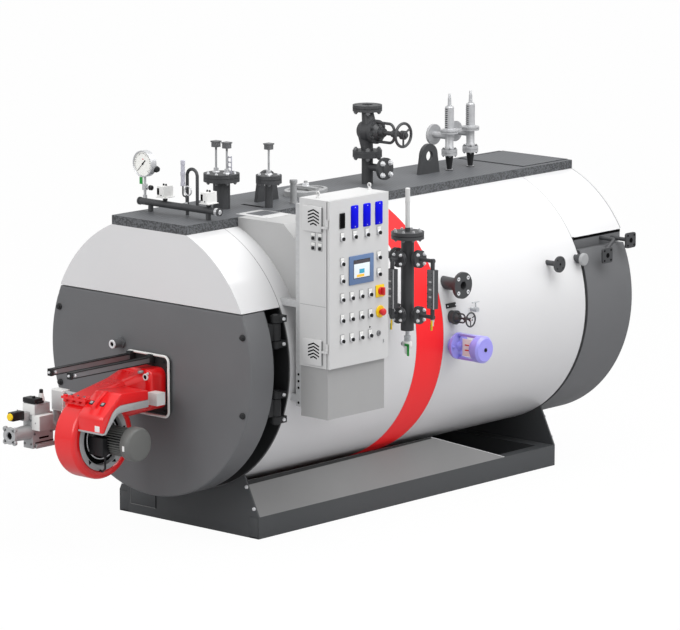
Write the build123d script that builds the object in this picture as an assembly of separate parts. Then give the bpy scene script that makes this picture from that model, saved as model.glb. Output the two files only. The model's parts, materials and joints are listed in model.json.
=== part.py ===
from build123d import *
import os
from math import cos, radians, sin, sqrt

# Packaged fire-tube steam boiler: millimetres, +Z up, burner door at -Y, control cabinet at +X.
# The origin is on the floor under the middle of the base frame.
# Stations run rearwards from the face of the burner door.

# General fits
SEAT_GAP = 0.3
RUNNING_GAP = 0.05
FLANGE_BOLTS = 4
DOOR_SEAL_GAP = 6.0

# Cladding and pressure body
AXIS_HEIGHT = 1076.0
CASING_RADIUS = 840.0
INSULATION = 100.0
SHELL_WALL = 14.0
PLATE_THICKNESS = 22.0
CASING_START = 326.0
BAND_START = 1465.0
BAND_WIDTH = 251.0
CASING_END = 3104.0
REAR_GAP = 25.0
SMOKEBOX_LENGTH = 449.0
SMOKEBOX_WALL = 6.0
SMOKEBOX_TOP_RISE = 349.0
FLUE_RADIUS = 175.0
FLUE_WALL = 6.0
FLUE_LENGTH = 90.0
FLUE_DROP = 60.0
NOTCH_HEIGHT = 80.0
NOTCH_DEPTH = 190.0

# Furnace and smoke tubes
FURNACE_DROP = 150.0
FURNACE_RADIUS = 330.0
FURNACE_WALL = 14.0
FURNACE_LENGTH = 2450.0
TUBE_RADIUS = 44.5
TUBE_WALL = 4.5
TUBE_COUNT = 13
TUBE_PITCH = 18.0
TUBE_SPACING = 20.0

# Burner door, turning chamber and front hood
DOOR_DEPTH = 187.0
DOOR_TOP_RISE = 354.0
DOOR_EDGE_ROUND = 12.0
HOOD_GAP = 7.0
SHEET = 4.0
COLLAR_RADIUS = 722.0
COLLAR_WALL = 16.0
COLLAR_TOP_RISE = 330.0
LINING_DEPTH = 105.0
LINING_CLEARANCE = 28.0
COLLAR_FLANGE_INSET = 6.0
COLLAR_FLANGE_THICKNESS = 6.0
HINGE_X = 790.0
HINGE_RISE = 228.0
HINGE_PIN_RADIUS = 15.0
HINGE_KNUCKLE_RADIUS = 32.0
HINGE_KNUCKLE_HEIGHT = 100.0
HINGE_LUG_HEIGHT = 40.0
HINGE_LUG_GAP = 5.0
SIGHT_X = -236.0
SIGHT_RISE = 68.0
SIGHT_RADIUS = 27.0
SIGHT_LENGTH = 78.0
SIGHT_COLLAR = 1.25

# Walkway on the crown
PLATFORM_WIDTH = 620.0
PLATFORM_HEIGHT = 56.0
PLATFORM_END = 3605.0
PLATFORM_SHEET = 5.0
HATCH_STATION = 3150.0
HATCH_INSET = 36.0
HATCH_THICKNESS = 3.0

# Base frame and saddles
BASE_WIDTH = 1176.0
BASE_FRONT = 321.0
BASE_LENGTH = 2794.0
RAIL_HEIGHT = 135.0
RAIL_FLANGE = 75.0
RAIL_THICKNESS = 9.0
CROSS_WIDTH = 90.0
SADDLE_THICKNESS = 12.0
SKIRT_THICKNESS = 6.0
SKIRT_TOP_X = 470.0
ANCHOR_RADIUS = 11.0
ANCHOR_INSET = 40.0
ANCHOR_END_INSET = 147.0

# Burner
BURNER_PLATE_WIDTH = 350.0
BURNER_PLATE_HEIGHT = 345.0
BURNER_PLATE_THICKNESS = 14.0
BURNER_PLATE_CORNER = 26.0
BLAST_RADIUS = 110.0
BLAST_WALL = 5.0
BLAST_REACH = 480.0
BLAST_CLEARANCE = 6.0
HEAD_WIDTH = 290.0
HEAD_DEPTH = 125.0
HEAD_BELOW = 136.0
HEAD_ABOVE = 114.0
HEAD_CORNER = 48.0
HEAD_ROUND = 26.0
VOLUTE_RADIUS = 250.0
VOLUTE_WIDTH = 180.0
VOLUTE_FACE_X = 30.0
VOLUTE_STATION = -422.0
VOLUTE_DROP = 265.0
VOLUTE_ROUND = 30.0
VOLUTE_RECESS = 40.0
VOLUTE_RECESS_RADII = (160.0, 205.0)
DUCT_MOUTH_HEIGHT = 230.0
DUCT_MOUTH_RISE = 139.0
DUCT_MOUTH_STATION = -560.0
DUCT_NECK_STATION = -236.0
DUCT_NECK_DROP = 52.0
DUCT_CORNER = 38.0
DUCT_LIP_DEPTH = 50.0
DUCT_LIP_THICKNESS = 14.0
DUCT_LIP_OVERHANG = 12.0
MOTOR_RING_RADII = (105.0, 152.0)
MOTOR_RING_WIDTH = 28.0
MOTOR_RADIUS = 88.0
MOTOR_BODY_LENGTH = 249.0
MOTOR_CAP_RADIUS = 103.0
MOTOR_CAP_LENGTH = 66.0
MOTOR_CAP_ROUND = 20.0
COVER_WIDTH = 205.0
COVER_TOP_RISE = 19.0
COVER_DEPTH = 65.0
COVER_REAR_STATION = -248.0
COVER_BEND_STATION = -473.0
COVER_NOSE_STATION = -625.0
COVER_NOSE_RISE = -96.0
COVER_FOOT_RISE = -190.0
COVER_LIP = 26.0
COVER_ROUND = 9.0
SERVO_WIDTH = 80.0
SERVO_DEPTH = 70.0
SERVO_HEIGHT = 75.0
SERVO_DROP = 48.0
SERVO_STATION = -170.0
SLIDE_BAR_WIDTH = 30.0
SLIDE_BAR_HEIGHT = 38.0
SLIDE_BAR_LENGTH = 700.0
SLIDE_BAR_X = (-125.0, 40.0)
SLIDE_BAR_WALL = 4.0

# Gas train beside the burner
GAS_X = -425.0
GAS_DROP = 265.0
GAS_BLOCK_WIDTH = 84.0
GAS_BLOCK_HEIGHT = 150.0
GAS_BLOCK_START = -745.0
GAS_BLOCK_LENGTH = 310.0
GAS_BLOCK_ROUND = 10.0
GAS_FLANGE_RADIUS = 72.0
GAS_FLANGE_THICKNESS = 18.0
GAS_BORE_RADIUS = 31.0
GAS_BOLT_CIRCLE = 110.0
GAS_BOLT_RADIUS = 7.0
GAS_PIPE_RADIUS = 25.0
GAS_PIPE_BEND = 42.0
GAS_RISER_STATION = -364.0
GAS_RISER_RISE = 202.0
GAS_TOP_BOX = (92.0, 142.0, 47.0)
GAS_TOP_BOX_INSET = 25.0
GAS_PLUG = (92.0, 46.0, 40.0)
GAS_VENT_STEPS = ((23.5, 15.0, 53.0), (13.0, 24.0))
GAS_SIDE_BOX = (63.0, 121.0, 85.0)
GAS_SIDE_BOX_INSET = 20.0
GAS_SIDE_BOX_RISE = 18.0

# Control cabinet
CABINET_BACK_X = 905.0
CABINET_DEPTH = 214.0
CABINET_START = 342.0
CABINET_WIDTH = 522.0
CABINET_FOOT = 1107.0
CABINET_HEIGHT = 1000.0
CABINET_SHEET = 4.0
CABINET_DOOR_GAP = 5.0
CABINET_DOOR_THICKNESS = 17.0
CABINET_HINGE_OFFSET = 10.0
CABINET_DOOR_EDGE = 2.0
CABINET_HINGE_PIN = 4.0
CABINET_HINGE_RADIUS = 8.0
CABINET_HINGE_HEIGHT = 40.0
CABINET_HINGE_LUG = 14.0
CABINET_HINGE_INSET = 130.0
UPRIGHT_SIZE = 41.0
UPRIGHT_BELOW = 255.0
ARM_BELOW = 206.0
PLINTH_INSET = 12.0
PLINTH_HEIGHT = 307.0
UPRIGHT_INSET = 12.0
DUCT_START = 445.0
DUCT_LENGTH = 305.0
DUCT_TOP_X = 680.0
DUCT_CABINET_DROP = 390.0

# Devices on the cabinet door, across from the hinge edge and down from the top
UPPER_COLUMNS = (111.0, 220.0, 328.0, 434.0)
LOWER_COLUMNS = (111.0, 195.0, 279.0, 357.0)
LOWER_DROPS = (586.0, 711.0, 833.0)
SIDE_DROPS = (373.0, 474.0)
DISPLAY_DROP = 117.0
DISPLAY_SIZE = (56.0, 128.0)
DISPLAY_DEPTH = 8.0
TOUCH_PLACE = (277.0, 434.0)
TOUCH_SIZE = (214.0, 172.0)
SELECTOR_DROP = 224.0
SELECTOR_RADIUS = 15.0
SELECTOR_DEPTH = 24.0
LEGEND_SIZE = (34.0, 52.0)
LEGEND_DEPTH = 4.0
MAIN_ACROSS = 447.0
MAIN_PLATE = 62.0
MAIN_KNOB_RADIUS = 18.0
MAIN_KNOB_DEPTH = 38.0

# Crown fittings
HEADER_STATION = 251.0
HEADER_RISE = 56.0
HEADER_RADIUS = 21.0
HEADER_X = (-325.0, 348.0)
HEADER_CAP_RADIUS = 24.0
HEADER_CAP_LENGTH = 12.0
HEADER_FOOT_INSET = 96.0
HEADER_FOOT_RADIUS = 16.0
GAUGE_RADIUS = 80.0
GAUGE_DEPTH = 40.0
GAUGE_RIM = 7.0
GAUGE_X = -277.0
GAUGE_RISE = 287.0
GAUGE_STEM_STEPS = ((13.0, 18.0), (8.0, 32.0), (17.0, 34.0), (8.0, 52.0))
GAUGE_COCK_RISE = 67.0
GAUGE_COCK_STEPS = ((7.0, 42.0), (14.0, 18.0))
SWITCH_X = (-107.0, 256.0)
SWITCH_STUB_RADIUS = 10.0
SWITCH_STUB_HEIGHT = 22.0
SWITCH_PLATE = (72.0, 92.0, 5.0)
SWITCH_BOX = (56.0, 90.0, 66.0)
SWITCH_ROUND = 8.0
SIPHON_X = 31.0
SIPHON_STATION = 300.0
SIPHON_SPAN = 83.0
SIPHON_BEND = 40.5
SIPHON_RADIUS = 10.0
SIPHON_ELBOW_RADIUS = 13.0
SIPHON_TOP_RISE = 282.0
PIGTAIL_X = (69.0, 42.0)
PIGTAIL_RADIUS = 5.0
PIGTAIL_BEND = 13.0
PIGTAIL_RISES = (45.0, 105.0)
TRANSMITTER_STEPS = ((9.0, 120.0), (12.0, 31.0))
POTS = ((0.0, 629.0, 52.0, 110.0, 215.0), (194.0, 840.0, 24.0, 79.0, 200.0))
POT_FLANGE_THICKNESS = 23.0
POT_GASKET = 4.0
ELECTRODE_SPREAD = 45.0
ELECTRODE_STEPS = ((14.0, 24.0), (6.5, 131.0))
ELECTRODE_HEAD = (40.0, 40.0, 30.0)
ELECTRODE_LID = (48.0, 48.0, 8.0)
HANDHOLE_X = 10.0
HANDHOLE_STATION = 1370.0
HANDHOLE_WIDTH = 220.0
HANDHOLE_LENGTH = 320.0
HANDHOLE_HEIGHT = 35.0
HANDHOLE_RIM = 24.0
HANDHOLE_RECESS = 9.0
HANDHOLE_ROUND = 5.0
HANDHOLE_BRIDGE = (196.0, 36.0, 16.0)
HANDHOLE_STUD_RADIUS = 12.0
HANDHOLE_STUD_HEIGHT = 58.0
VENT_X = 194.0
VENT_STATION = 1060.0
VENT_STEPS = ((26.0, 8.0), (20.0, 117.0), (24.0, 20.0))
LUG_THICKNESS = 25.0
LUG_LENGTH = 195.0
LUG_HEIGHT = 190.0
LUG_HOLE_RADIUS = 33.0
LUG_HOLE_RISE = 112.0
LUG_STATIONS = (1026.0, 2535.0)
SAFETY_STATIONS = (2731.0, 2938.0)
SAFETY_X = 8.0
SAFETY_STEPS = (
    (24.0, 6.0), (10.0, 16.0, 91.0), (51.0, 17.0), (44.0, 3.0), (51.0, 17.0), (26.0, 103.0),
    (57.0, 11.0), (30.0, 3.0), (57.0, 11.0), (27.0, 125.0), (14.0, 16.0), (11.0, 62.0),
)
SAFETY_OUTLET_RISE = 218.0
SAFETY_OUTLET_STEPS = ((22.0, 123.0), (66.0, 18.0))

# Steam stop valve on the crown
CROWN_STATION = 1952.0
RISER_RADIUS = 36.0
RISER_HEIGHT = 190.0
BRANCH_RISE = 108.0
BRANCH_RADIUS = 24.0
BRANCH_REACH = 135.0
BRANCH_FLANGE_RADIUS = 70.0
BRANCH_FLANGE_THICKNESS = 22.0
VALVE_FLANGE_RADIUS = 92.5
VALVE_FLANGE_THICKNESS = 20.0
VALVE_GASKET = 3.0
VALVE_BOLT_CIRCLE = 145.0
VALVE_BOLT_RADIUS = 9.0
VALVE_BORE_RADIUS = 33.0
VALVE_FACE_TO_FACE = 290.0
VALVE_NECK_RADIUS = 37.0
VALVE_CHEST_RADIUS = 50.0
VALVE_OFFSET = 24.0
VALVE_CHEST_START = -62.0
STEM_RADIUS = 14.0
VALVE_CHEST_STEPS = (
    (34.0, 56.0, 20.0), (56.0, 68.0, 34.0), (68.0, 64.0, 40.0), (64.0, 52.0, 28.0), (76.0, 25.0),
    (54.0, 34.0, 26.0), (26.0, 34.0), (STEM_RADIUS, 185.0),
)
YOKE_START = 75.0
YOKE_END = 225.0
YOKE_HALF = 60.0
YOKE_BEND = 42.0
YOKE_ROD = 9.0
YOKE_BUSH_RADIUS = 22.0
YOKE_BUSH_LENGTH = 26.0
WHEEL_RADIUS = 82.0
WHEEL_RIM = 9.0
WHEEL_REACH = 300.0
WHEEL_SPOKES = 3
SPOKE_SHARE = 0.7

# Side fittings
FITTING_STATION = 1803.0
SHUTOFF_HEIGHT = 1186.0
SHUTOFF_STEM = 6.0
SHUTOFF_WHEEL_X = 985.0
SHUTOFF_WHEEL_RADIUS = 48.0
SHUTOFF_WHEEL_RIM = 5.0
SHUTOFF_STEPS = ((40.0, 158.0), (44.0, 14.0), (28.0, 18.0, 26.0), (SHUTOFF_STEM, 100.0))
SHUTOFF_YOKE = (866.0, 940.0, 27.0, 22.0, 5.0)
SHUTOFF_BUSH = (11.0, 14.0)
INSIDE_X = 700.0
FEED_RISE = 206.0
FEED_FACE_X = 925.0
FEED_NECK_RADII = (44.0, 36.0)
FEED_FLANGE_RADIUS = 82.5
FEED_FLANGE_THICKNESS = 20.0
FEED_BORE_RADIUS = 26.0
FEED_BOLT_CIRCLE = 125.0
FEED_BOLT_RADIUS = 9.0
BLOWDOWN_DROP = 174.0
BLOWDOWN_STEPS = ((45.0, 180.0), (82.0, 16.0), (30.0, 22.0, 30.0), (14.0, 94.0))
BLOWDOWN_BAR_X = (884.0, 1050.0)
BLOWDOWN_BAR_RISE = 73.0
BLOWDOWN_BAR = (34.0, 14.0)
BLOWDOWN_DISC_X = 1020.0
BLOWDOWN_DISC_STEPS = ((58.0, 12.0), (66.0, 84.0, 16.0), (84.0, 44.0), (84.0, 70.0, 14.0))
COLUMN_X = 985.0
COLUMN_STATION = 1214.0
COLUMN_FOOT = 1204.0
COLUMN_HEIGHT = 560.0
COLUMN_RADIUS = 40.0
COLUMN_TOP_STEPS = ((100.0, 20.0), (88.0, 4.0), (100.0, 20.0), (16.0, 24.0), (13.0, 236.0))
COLUMN_LEVELS = (103.0, 445.0)
COLUMN_BRANCH_RADIUS = 22.0
COLUMN_BRANCH_FLANGE = (51.0, 12.0, 880.0)
GLASS_ARM_STEPS = ((18.0, 36.0), (54.0, 13.0), (46.0, 3.0), (54.0, 13.0), (12.0, 108.0))
GLASS_FRONT_ARM_STEPS = ((18.0, 24.0), (50.0, 12.0), (42.0, 3.0), (50.0, 12.0), (11.0, 60.0))
GLASS_BODY = (58.0, 34.0, 236.0)
GLASS_LEG_RADIUS = 13.0
DRAIN_STEPS = ((12.0, 34.0), (20.0, 40.0), (11.0, 60.0))
SAMPLE_STATION = 1990.0
SAMPLE_RISE = 24.0
SAMPLE_STEPS = ((11.0, 150.0), (15.0, 34.0))
SAMPLE_STEM_X = 866.0
SAMPLE_STEM = (5.0, 46.0)
SAMPLE_HANDLE = (4.0, 66.0)

# Rear connections
SPARE_STATION = 2790.0
SPARE_HEIGHT = 1392.0
SPARE_FACE_X = 885.0
SPARE_NECK_RADIUS = 17.0
SPARE_FLANGE = (52.0, 14.0)
SPARE_BORE_RADIUS = 9.0
SPARE_BOLT_CIRCLE = 75.0
SPARE_BOLT_RADIUS = 6.0
CAPPED_STATION = 3073.0
CAPPED_HEIGHT = 1384.0
CAPPED_STEPS = ((24.0, 100.0), (31.0, 36.0), (39.0, 14.0))
SQUARE_PLATE = (14.0, 98.0, 98.0)
SQUARE_PLATE_ROUND = 16.0
SQUARE_PLATE_X = 873.0
UPPER_PLATE_PLACE = (3512.0, 1457.0)
LOWER_PLATE_PLACE = (3275.0, 1388.0)
LOWER_PIPE_START = (3400.0, 1470.0)
LOWER_PIPE_X = 832.0
REAR_PIPE_RADIUS = 13.0
REAR_PIPE_BEND = 18.0


def y_at(station):
    """Model Y of a station measured rearwards from the door face."""
    return station - BASE_FRONT - BASE_LENGTH / 2


def block(x, y, z):
    """Box between pairs of limits."""
    size = [high - low for low, high in (x, y, z)]
    middle = [(high + low) / 2 for low, high in (x, y, z)]
    return Pos(*middle) * Box(*size)


def rod(start, axis, radius, length):
    """Cylinder from a point along an axis."""
    return Plane(start, z_dir=axis) * Cylinder(radius, length, align=(Align.CENTER, Align.CENTER, Align.MIN))


def pipe(start, axis, radius, wall, length):
    """Open tube from a point along an axis."""
    return rod(start, axis, radius, length) - rod(start, axis, radius - wall, length)


def spun(start, axis, profile):
    """Solid of revolution along an axis from a point, its profile given as (radius, distance)."""
    outline = Polyline((0, profile[0][1]), *profile, (0, profile[-1][1]), close=True)
    return Plane(start, z_dir=axis) * revolve(Plane.XZ * make_face(outline), Axis.Z)


def turned(start, axis, steps):
    """Turned piece along an axis, each step given as (radius, length) or (radius, end radius, length)."""
    profile = []
    distance = 0.0
    for step in steps:
        for point in ((step[0], distance), (step[-2], distance + step[-1])):
            if point not in profile[-1:]:
                profile.append(point)
        distance += step[-1]
    return spun(start, axis, profile)


def ring_holes(centre, axis, circle, count, radius, depth):
    """Drills for a bolt circle, starting on the given face."""
    plane = Plane(centre, z_dir=axis)
    drill = Cylinder(radius, depth, align=(Align.CENTER, Align.CENTER, Align.MIN))
    return [plane * loc * drill for loc in PolarLocations(circle / 2, count, 180 / count)]


def bored_flange(face, axis, radius, thickness, bore, circle, count, hole):
    """Flange whose open face is at a point and whose normal is the axis."""
    back = Vector(face) - Vector(axis) * thickness
    disc = rod(back, axis, radius, thickness) - rod(back, axis, bore, thickness)
    return disc - ring_holes(back, axis, circle, count, hole, thickness)


def d_face(radius, top_rise):
    """Circle about the boiler axis cut off flat above the axis, drawn looking along Y."""
    plane = Plane((0, 0, AXIS_HEIGHT), x_dir=(1, 0, 0), z_dir=(0, -1, 0))
    cut = Pos(0, top_rise + radius) * Rectangle(4 * radius, 2 * radius)
    return plane * (Circle(radius) - cut)


def crown_face(radius, low_rise, high_rise):
    """Slice of the circle between two heights above the axis."""
    plane = Plane((0, 0, AXIS_HEIGHT), x_dir=(1, 0, 0), z_dir=(0, -1, 0))
    strip = Pos(0, (low_rise + high_rise) / 2) * Rectangle(4 * radius, high_rise - low_rise)
    return plane * (Circle(radius) & strip)


def front_plane(x, station, z):
    """Plane across the boiler at a station, facing the front."""
    return Plane((x, y_at(station), z), x_dir=(1, 0, 0), z_dir=(0, -1, 0))


def between(face, start, end):
    """Face drawn at Y = 0 carried along Y from one station to another."""
    return Pos(0, y_at(end), 0) * extrude(face, end - start)


def off_casing(shape):
    """Piece trimmed to seat on the outside of the cladding."""
    core = rod((0, y_at(0), AXIS_HEIGHT), (0, 1, 0), CASING_RADIUS + SEAT_GAP, PLATFORM_END)
    return shape - core


SHELL_RADIUS = CASING_RADIUS - INSULATION
FLAT_RISE = sqrt(CASING_RADIUS**2 - (PLATFORM_WIDTH / 2) ** 2)
FLAT_Z = AXIS_HEIGHT + FLAT_RISE
WALK_Z = FLAT_Z + PLATFORM_HEIGHT
FURNACE_Z = AXIS_HEIGHT - FURNACE_DROP
PLATE_STATION = CASING_START + PLATE_THICKNESS
REAR_PLATE_STATION = CASING_END - 2 * PLATE_THICKNESS
SMOKEBOX_START = CASING_END + REAR_GAP
SMOKEBOX_END = SMOKEBOX_START + SMOKEBOX_LENGTH
HINGE_STATION = (DOOR_DEPTH + CASING_START) / 2
COLLAR_FLANGE_STATION = CASING_START - COLLAR_FLANGE_THICKNESS
HEADER_TOP = WALK_Z + HEADER_RISE + HEADER_RADIUS + SEAT_GAP
POCKET_X = sqrt(CASING_RADIUS**2 - SMOKEBOX_TOP_RISE**2) - NOTCH_DEPTH
TUBE_ARC_RADIUS = FURNACE_RADIUS + TUBE_SPACING + TUBE_RADIUS


def tube_angles():
    """Angles of the smoke tubes about the furnace axis, evenly either side of the top."""
    return [90 + TUBE_PITCH * (i - (TUBE_COUNT - 1) / 2) for i in range(TUBE_COUNT)]


def tube_centres():
    """Smoke tubes on an arc round the top of the furnace, as (x, z)."""
    angles = [radians(angle) for angle in tube_angles()]
    return [(TUBE_ARC_RADIUS * cos(a), FURNACE_Z + TUBE_ARC_RADIUS * sin(a)) for a in angles]


# Base frame

def base_rails():
    """Two channels with their webs outside and anchor holes in the lower flange."""
    rails = Part()
    low, high = y_at(BASE_FRONT), y_at(BASE_FRONT + BASE_LENGTH)
    for side in (-1, 1):
        outer, inner = side * BASE_WIDTH / 2, side * (BASE_WIDTH / 2 - RAIL_FLANGE)
        web = side * (BASE_WIDTH / 2 - RAIL_THICKNESS)
        body = block(sorted((outer, inner)), (low, high), (0, RAIL_HEIGHT))
        body -= block(sorted((web, inner)), (low, high), (RAIL_THICKNESS, RAIL_HEIGHT - RAIL_THICKNESS))
        for y in (low + ANCHOR_END_INSET, high - ANCHOR_END_INSET):
            anchor = (side * (BASE_WIDTH / 2 - ANCHOR_INSET), y, 0)
            body -= rod(anchor, (0, 0, 1), ANCHOR_RADIUS, RAIL_THICKNESS)
        rails += body
    return rails


def cross_members():
    """Three boxes between the rails, with the origin under the middle one."""
    half = BASE_WIDTH / 2 - RAIL_FLANGE
    first = y_at(BASE_FRONT + SADDLE_THICKNESS) + CROSS_WIDTH / 2
    bars = Part()
    for middle in (first, 0, -first):
        bars += block((-half, half), (middle - CROSS_WIDTH / 2, middle + CROSS_WIDTH / 2), (0, RAIL_HEIGHT))
    return bars


SKIRT_TOP_Z = AXIS_HEIGHT - sqrt(CASING_RADIUS**2 - SKIRT_TOP_X**2)


def saddle_plates():
    """Upright end plates, cut to the cladding, that close the base at front and rear."""
    half = BASE_WIDTH / 2
    outline = Polyline(
        (RAIL_FLANGE - half, 0), (half - RAIL_FLANGE, 0), (half - RAIL_FLANGE, RAIL_HEIGHT),
        (half, RAIL_HEIGHT), (SKIRT_TOP_X, SKIRT_TOP_Z), (-SKIRT_TOP_X, SKIRT_TOP_Z),
        (-half, RAIL_HEIGHT), (RAIL_FLANGE - half, RAIL_HEIGHT), close=True,
    )
    face = Plane((0, 0, 0), x_dir=(1, 0, 0), z_dir=(0, -1, 0)) * make_face(outline)
    plates = Part()
    for start in (BASE_FRONT, BASE_FRONT + BASE_LENGTH - SADDLE_THICKNESS):
        plates += off_casing(between(face, start, start + SADDLE_THICKNESS))
    return plates


def base_skirts():
    """Sloped side sheets from the rails up to the cladding, with a turned lip at the top."""
    half = BASE_WIDTH / 2
    run, rise = half - SKIRT_TOP_X, SKIRT_TOP_Z - RAIL_HEIGHT
    across = SKIRT_THICKNESS * sqrt(run**2 + rise**2) / rise
    start, end = BASE_FRONT + SADDLE_THICKNESS, BASE_FRONT + BASE_LENGTH - SADDLE_THICKNESS
    skirts = Part()
    for side in (-1, 1):
        outline = Polyline(
            (side * half, RAIL_HEIGHT), (side * SKIRT_TOP_X, SKIRT_TOP_Z),
            (side * (SKIRT_TOP_X - across), SKIRT_TOP_Z), (side * (half - across), RAIL_HEIGHT), close=True,
        )
        face = Plane((0, 0, 0), x_dir=(1, 0, 0), z_dir=(0, -1, 0)) * make_face(outline)
        skirts += off_casing(between(face, start, end))
    return skirts


# Pressure body

def pressure_shell():
    """Round water shell under the cladding."""
    start = (0, y_at(CASING_START), AXIS_HEIGHT)
    return pipe(start, (0, 1, 0), SHELL_RADIUS, SHELL_WALL, CASING_END - PLATE_THICKNESS - CASING_START)


def tube_plate(station, furnace_hole):
    """Flat end of the shell, drilled for the smoke tubes."""
    radius = SHELL_RADIUS - SHELL_WALL - SEAT_GAP
    plate = rod((0, y_at(station), AXIS_HEIGHT), (0, 1, 0), radius, PLATE_THICKNESS)
    for x, z in tube_centres():
        plate -= rod((x, y_at(station), z), (0, 1, 0), TUBE_RADIUS + RUNNING_GAP, PLATE_THICKNESS)
    if furnace_hole:
        hole = FURNACE_RADIUS + RUNNING_GAP
        plate -= rod((0, y_at(station), FURNACE_Z), (0, 1, 0), hole, PLATE_THICKNESS)
    return plate


def front_tube_plate():
    """Front tube plate in sectors about the furnace, each with one tube hole at most."""
    plate = tube_plate(PLATE_STATION, True)
    plane = front_plane(0, PLATE_STATION, FURNACE_Z)
    reach = 2 * SHELL_RADIUS
    half = TUBE_PITCH / 2
    sectors = []
    for i in range(round(360 / TUBE_PITCH)):
        middle = tube_angles()[0] + TUBE_PITCH * i
        edges = [radians(angle) for angle in (middle - half, middle + half)]
        corners = [(reach * cos(a), reach * sin(a)) for a in edges]
        wedge = extrude(plane * make_face(Polyline((0, 0), *corners, close=True)), -PLATE_THICKNESS)
        sectors += (plate & wedge).solids()
    return Compound(sectors)


def furnace_tube():
    """Fire tube, open at the burner and closed at its far end."""
    start = (0, y_at(PLATE_STATION), FURNACE_Z)
    body = rod(start, (0, 1, 0), FURNACE_RADIUS, FURNACE_LENGTH)
    return body - rod(start, (0, 1, 0), FURNACE_RADIUS - FURNACE_WALL, FURNACE_LENGTH - FURNACE_WALL)


def smoke_tubes():
    """Return tubes between the two tube plates."""
    length = REAR_PLATE_STATION + PLATE_THICKNESS - PLATE_STATION
    return Part() + [pipe((x, y_at(PLATE_STATION), z), (0, 1, 0), TUBE_RADIUS, TUBE_WALL, length)
                     for x, z in tube_centres()]


def front_collar():
    """Turning chamber wall between the front tube plate and the door, flanged over the casing front."""
    inner = d_face(COLLAR_RADIUS - COLLAR_WALL, COLLAR_TOP_RISE - COLLAR_WALL)
    wall = between(d_face(COLLAR_RADIUS, COLLAR_TOP_RISE) - inner, DOOR_DEPTH + DOOR_SEAL_GAP, PLATE_STATION)
    flange = d_face(CASING_RADIUS - COLLAR_FLANGE_INSET, DOOR_TOP_RISE) - inner
    return wall + between(flange, COLLAR_FLANGE_STATION, CASING_START)


def casing_ring(start, end):
    """Insulated cladding ring, flat under the walkway."""
    return between(d_face(CASING_RADIUS, FLAT_RISE) - d_face(SHELL_RADIUS + SEAT_GAP, FLAT_RISE), start, end)


def front_hood():
    """Sheet hood over the door, open at the back and below the walkway."""
    low = DOOR_TOP_RISE + HOOD_GAP
    shell = between(crown_face(CASING_RADIUS, low, FLAT_RISE), 0, CASING_START)
    hollow = crown_face(CASING_RADIUS - SHEET, low + SHEET, FLAT_RISE - SHEET)
    return shell - between(hollow, SHEET, CASING_START)


# Rear end

def rear_smokebox():
    """Round smoke box with a flat top, a flue hole behind and its front against the rear plate."""
    shell = between(d_face(CASING_RADIUS, SMOKEBOX_TOP_RISE), SMOKEBOX_START, SMOKEBOX_END)
    inner = d_face(CASING_RADIUS - SMOKEBOX_WALL, SMOKEBOX_TOP_RISE - SMOKEBOX_WALL)
    shell -= between(inner, SMOKEBOX_START, SMOKEBOX_END - SMOKEBOX_WALL)
    flue = (0, y_at(SMOKEBOX_START), AXIS_HEIGHT - FLUE_DROP)
    hole = rod(flue, (0, 1, 0), FLUE_RADIUS - FLUE_WALL, SMOKEBOX_LENGTH)
    neck = d_face(SHELL_RADIUS - SHELL_WALL - SEAT_GAP, SMOKEBOX_TOP_RISE - SMOKEBOX_WALL)
    neck -= d_face(SHELL_RADIUS - 2 * SHELL_WALL, SMOKEBOX_TOP_RISE - SMOKEBOX_WALL - SHELL_WALL)
    flare = inner - d_face(SHELL_RADIUS - 2 * SHELL_WALL, SMOKEBOX_TOP_RISE - SMOKEBOX_WALL - SHELL_WALL)
    shell += between(neck, REAR_PLATE_STATION + PLATE_THICKNESS, SMOKEBOX_START + SMOKEBOX_WALL)
    shell += between(flare, SMOKEBOX_START, SMOKEBOX_START + SMOKEBOX_WALL)
    return shell - hole


def rear_hood():
    """Upper rear cladding with a pocket on the cabinet side for the nozzles."""
    low = SMOKEBOX_TOP_RISE
    shell = between(crown_face(CASING_RADIUS, low, FLAT_RISE), SMOKEBOX_START, PLATFORM_END)
    pocket_z = (AXIS_HEIGHT + low, AXIS_HEIGHT + low + NOTCH_HEIGHT)
    return shell - block((POCKET_X, CASING_RADIUS), (y_at(SMOKEBOX_START), y_at(PLATFORM_END)), pocket_z)


def flue_collar():
    """Spigot for the chimney pipe on the rear wall."""
    start = (0, y_at(SMOKEBOX_END), AXIS_HEIGHT - FLUE_DROP)
    return pipe(start, (0, 1, 0), FLUE_RADIUS, FLUE_WALL, FLUE_LENGTH)


def top_platform():
    """Folded walkway tray along the crown, with a cover plate at its rear end."""
    half = PLATFORM_WIDTH / 2
    body = block((-half, half), (y_at(0), y_at(PLATFORM_END)), (FLAT_Z, WALK_Z))
    plate_x = (HATCH_INSET - half, half - HATCH_INSET)
    body += block(plate_x, (y_at(HATCH_STATION), y_at(PLATFORM_END)), (WALK_Z, WALK_Z + HATCH_THICKNESS))
    half -= PLATFORM_SHEET
    y_limits = (y_at(PLATFORM_SHEET), y_at(PLATFORM_END - PLATFORM_SHEET))
    return body - block((-half, half), y_limits, (FLAT_Z, WALK_Z - PLATFORM_SHEET))


# Burner door

def front_door():
    """Deep insulated door with a rounded front edge and the burner opening."""
    door = between(d_face(CASING_RADIUS, DOOR_TOP_RISE), 0, DOOR_DEPTH)
    door = fillet(door.faces().sort_by(Axis.Y)[0].edges(), DOOR_EDGE_ROUND)
    return door - rod((0, y_at(0), FURNACE_Z), (0, 1, 0), BLAST_RADIUS + BLAST_CLEARANCE, DOOR_DEPTH)


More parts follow.
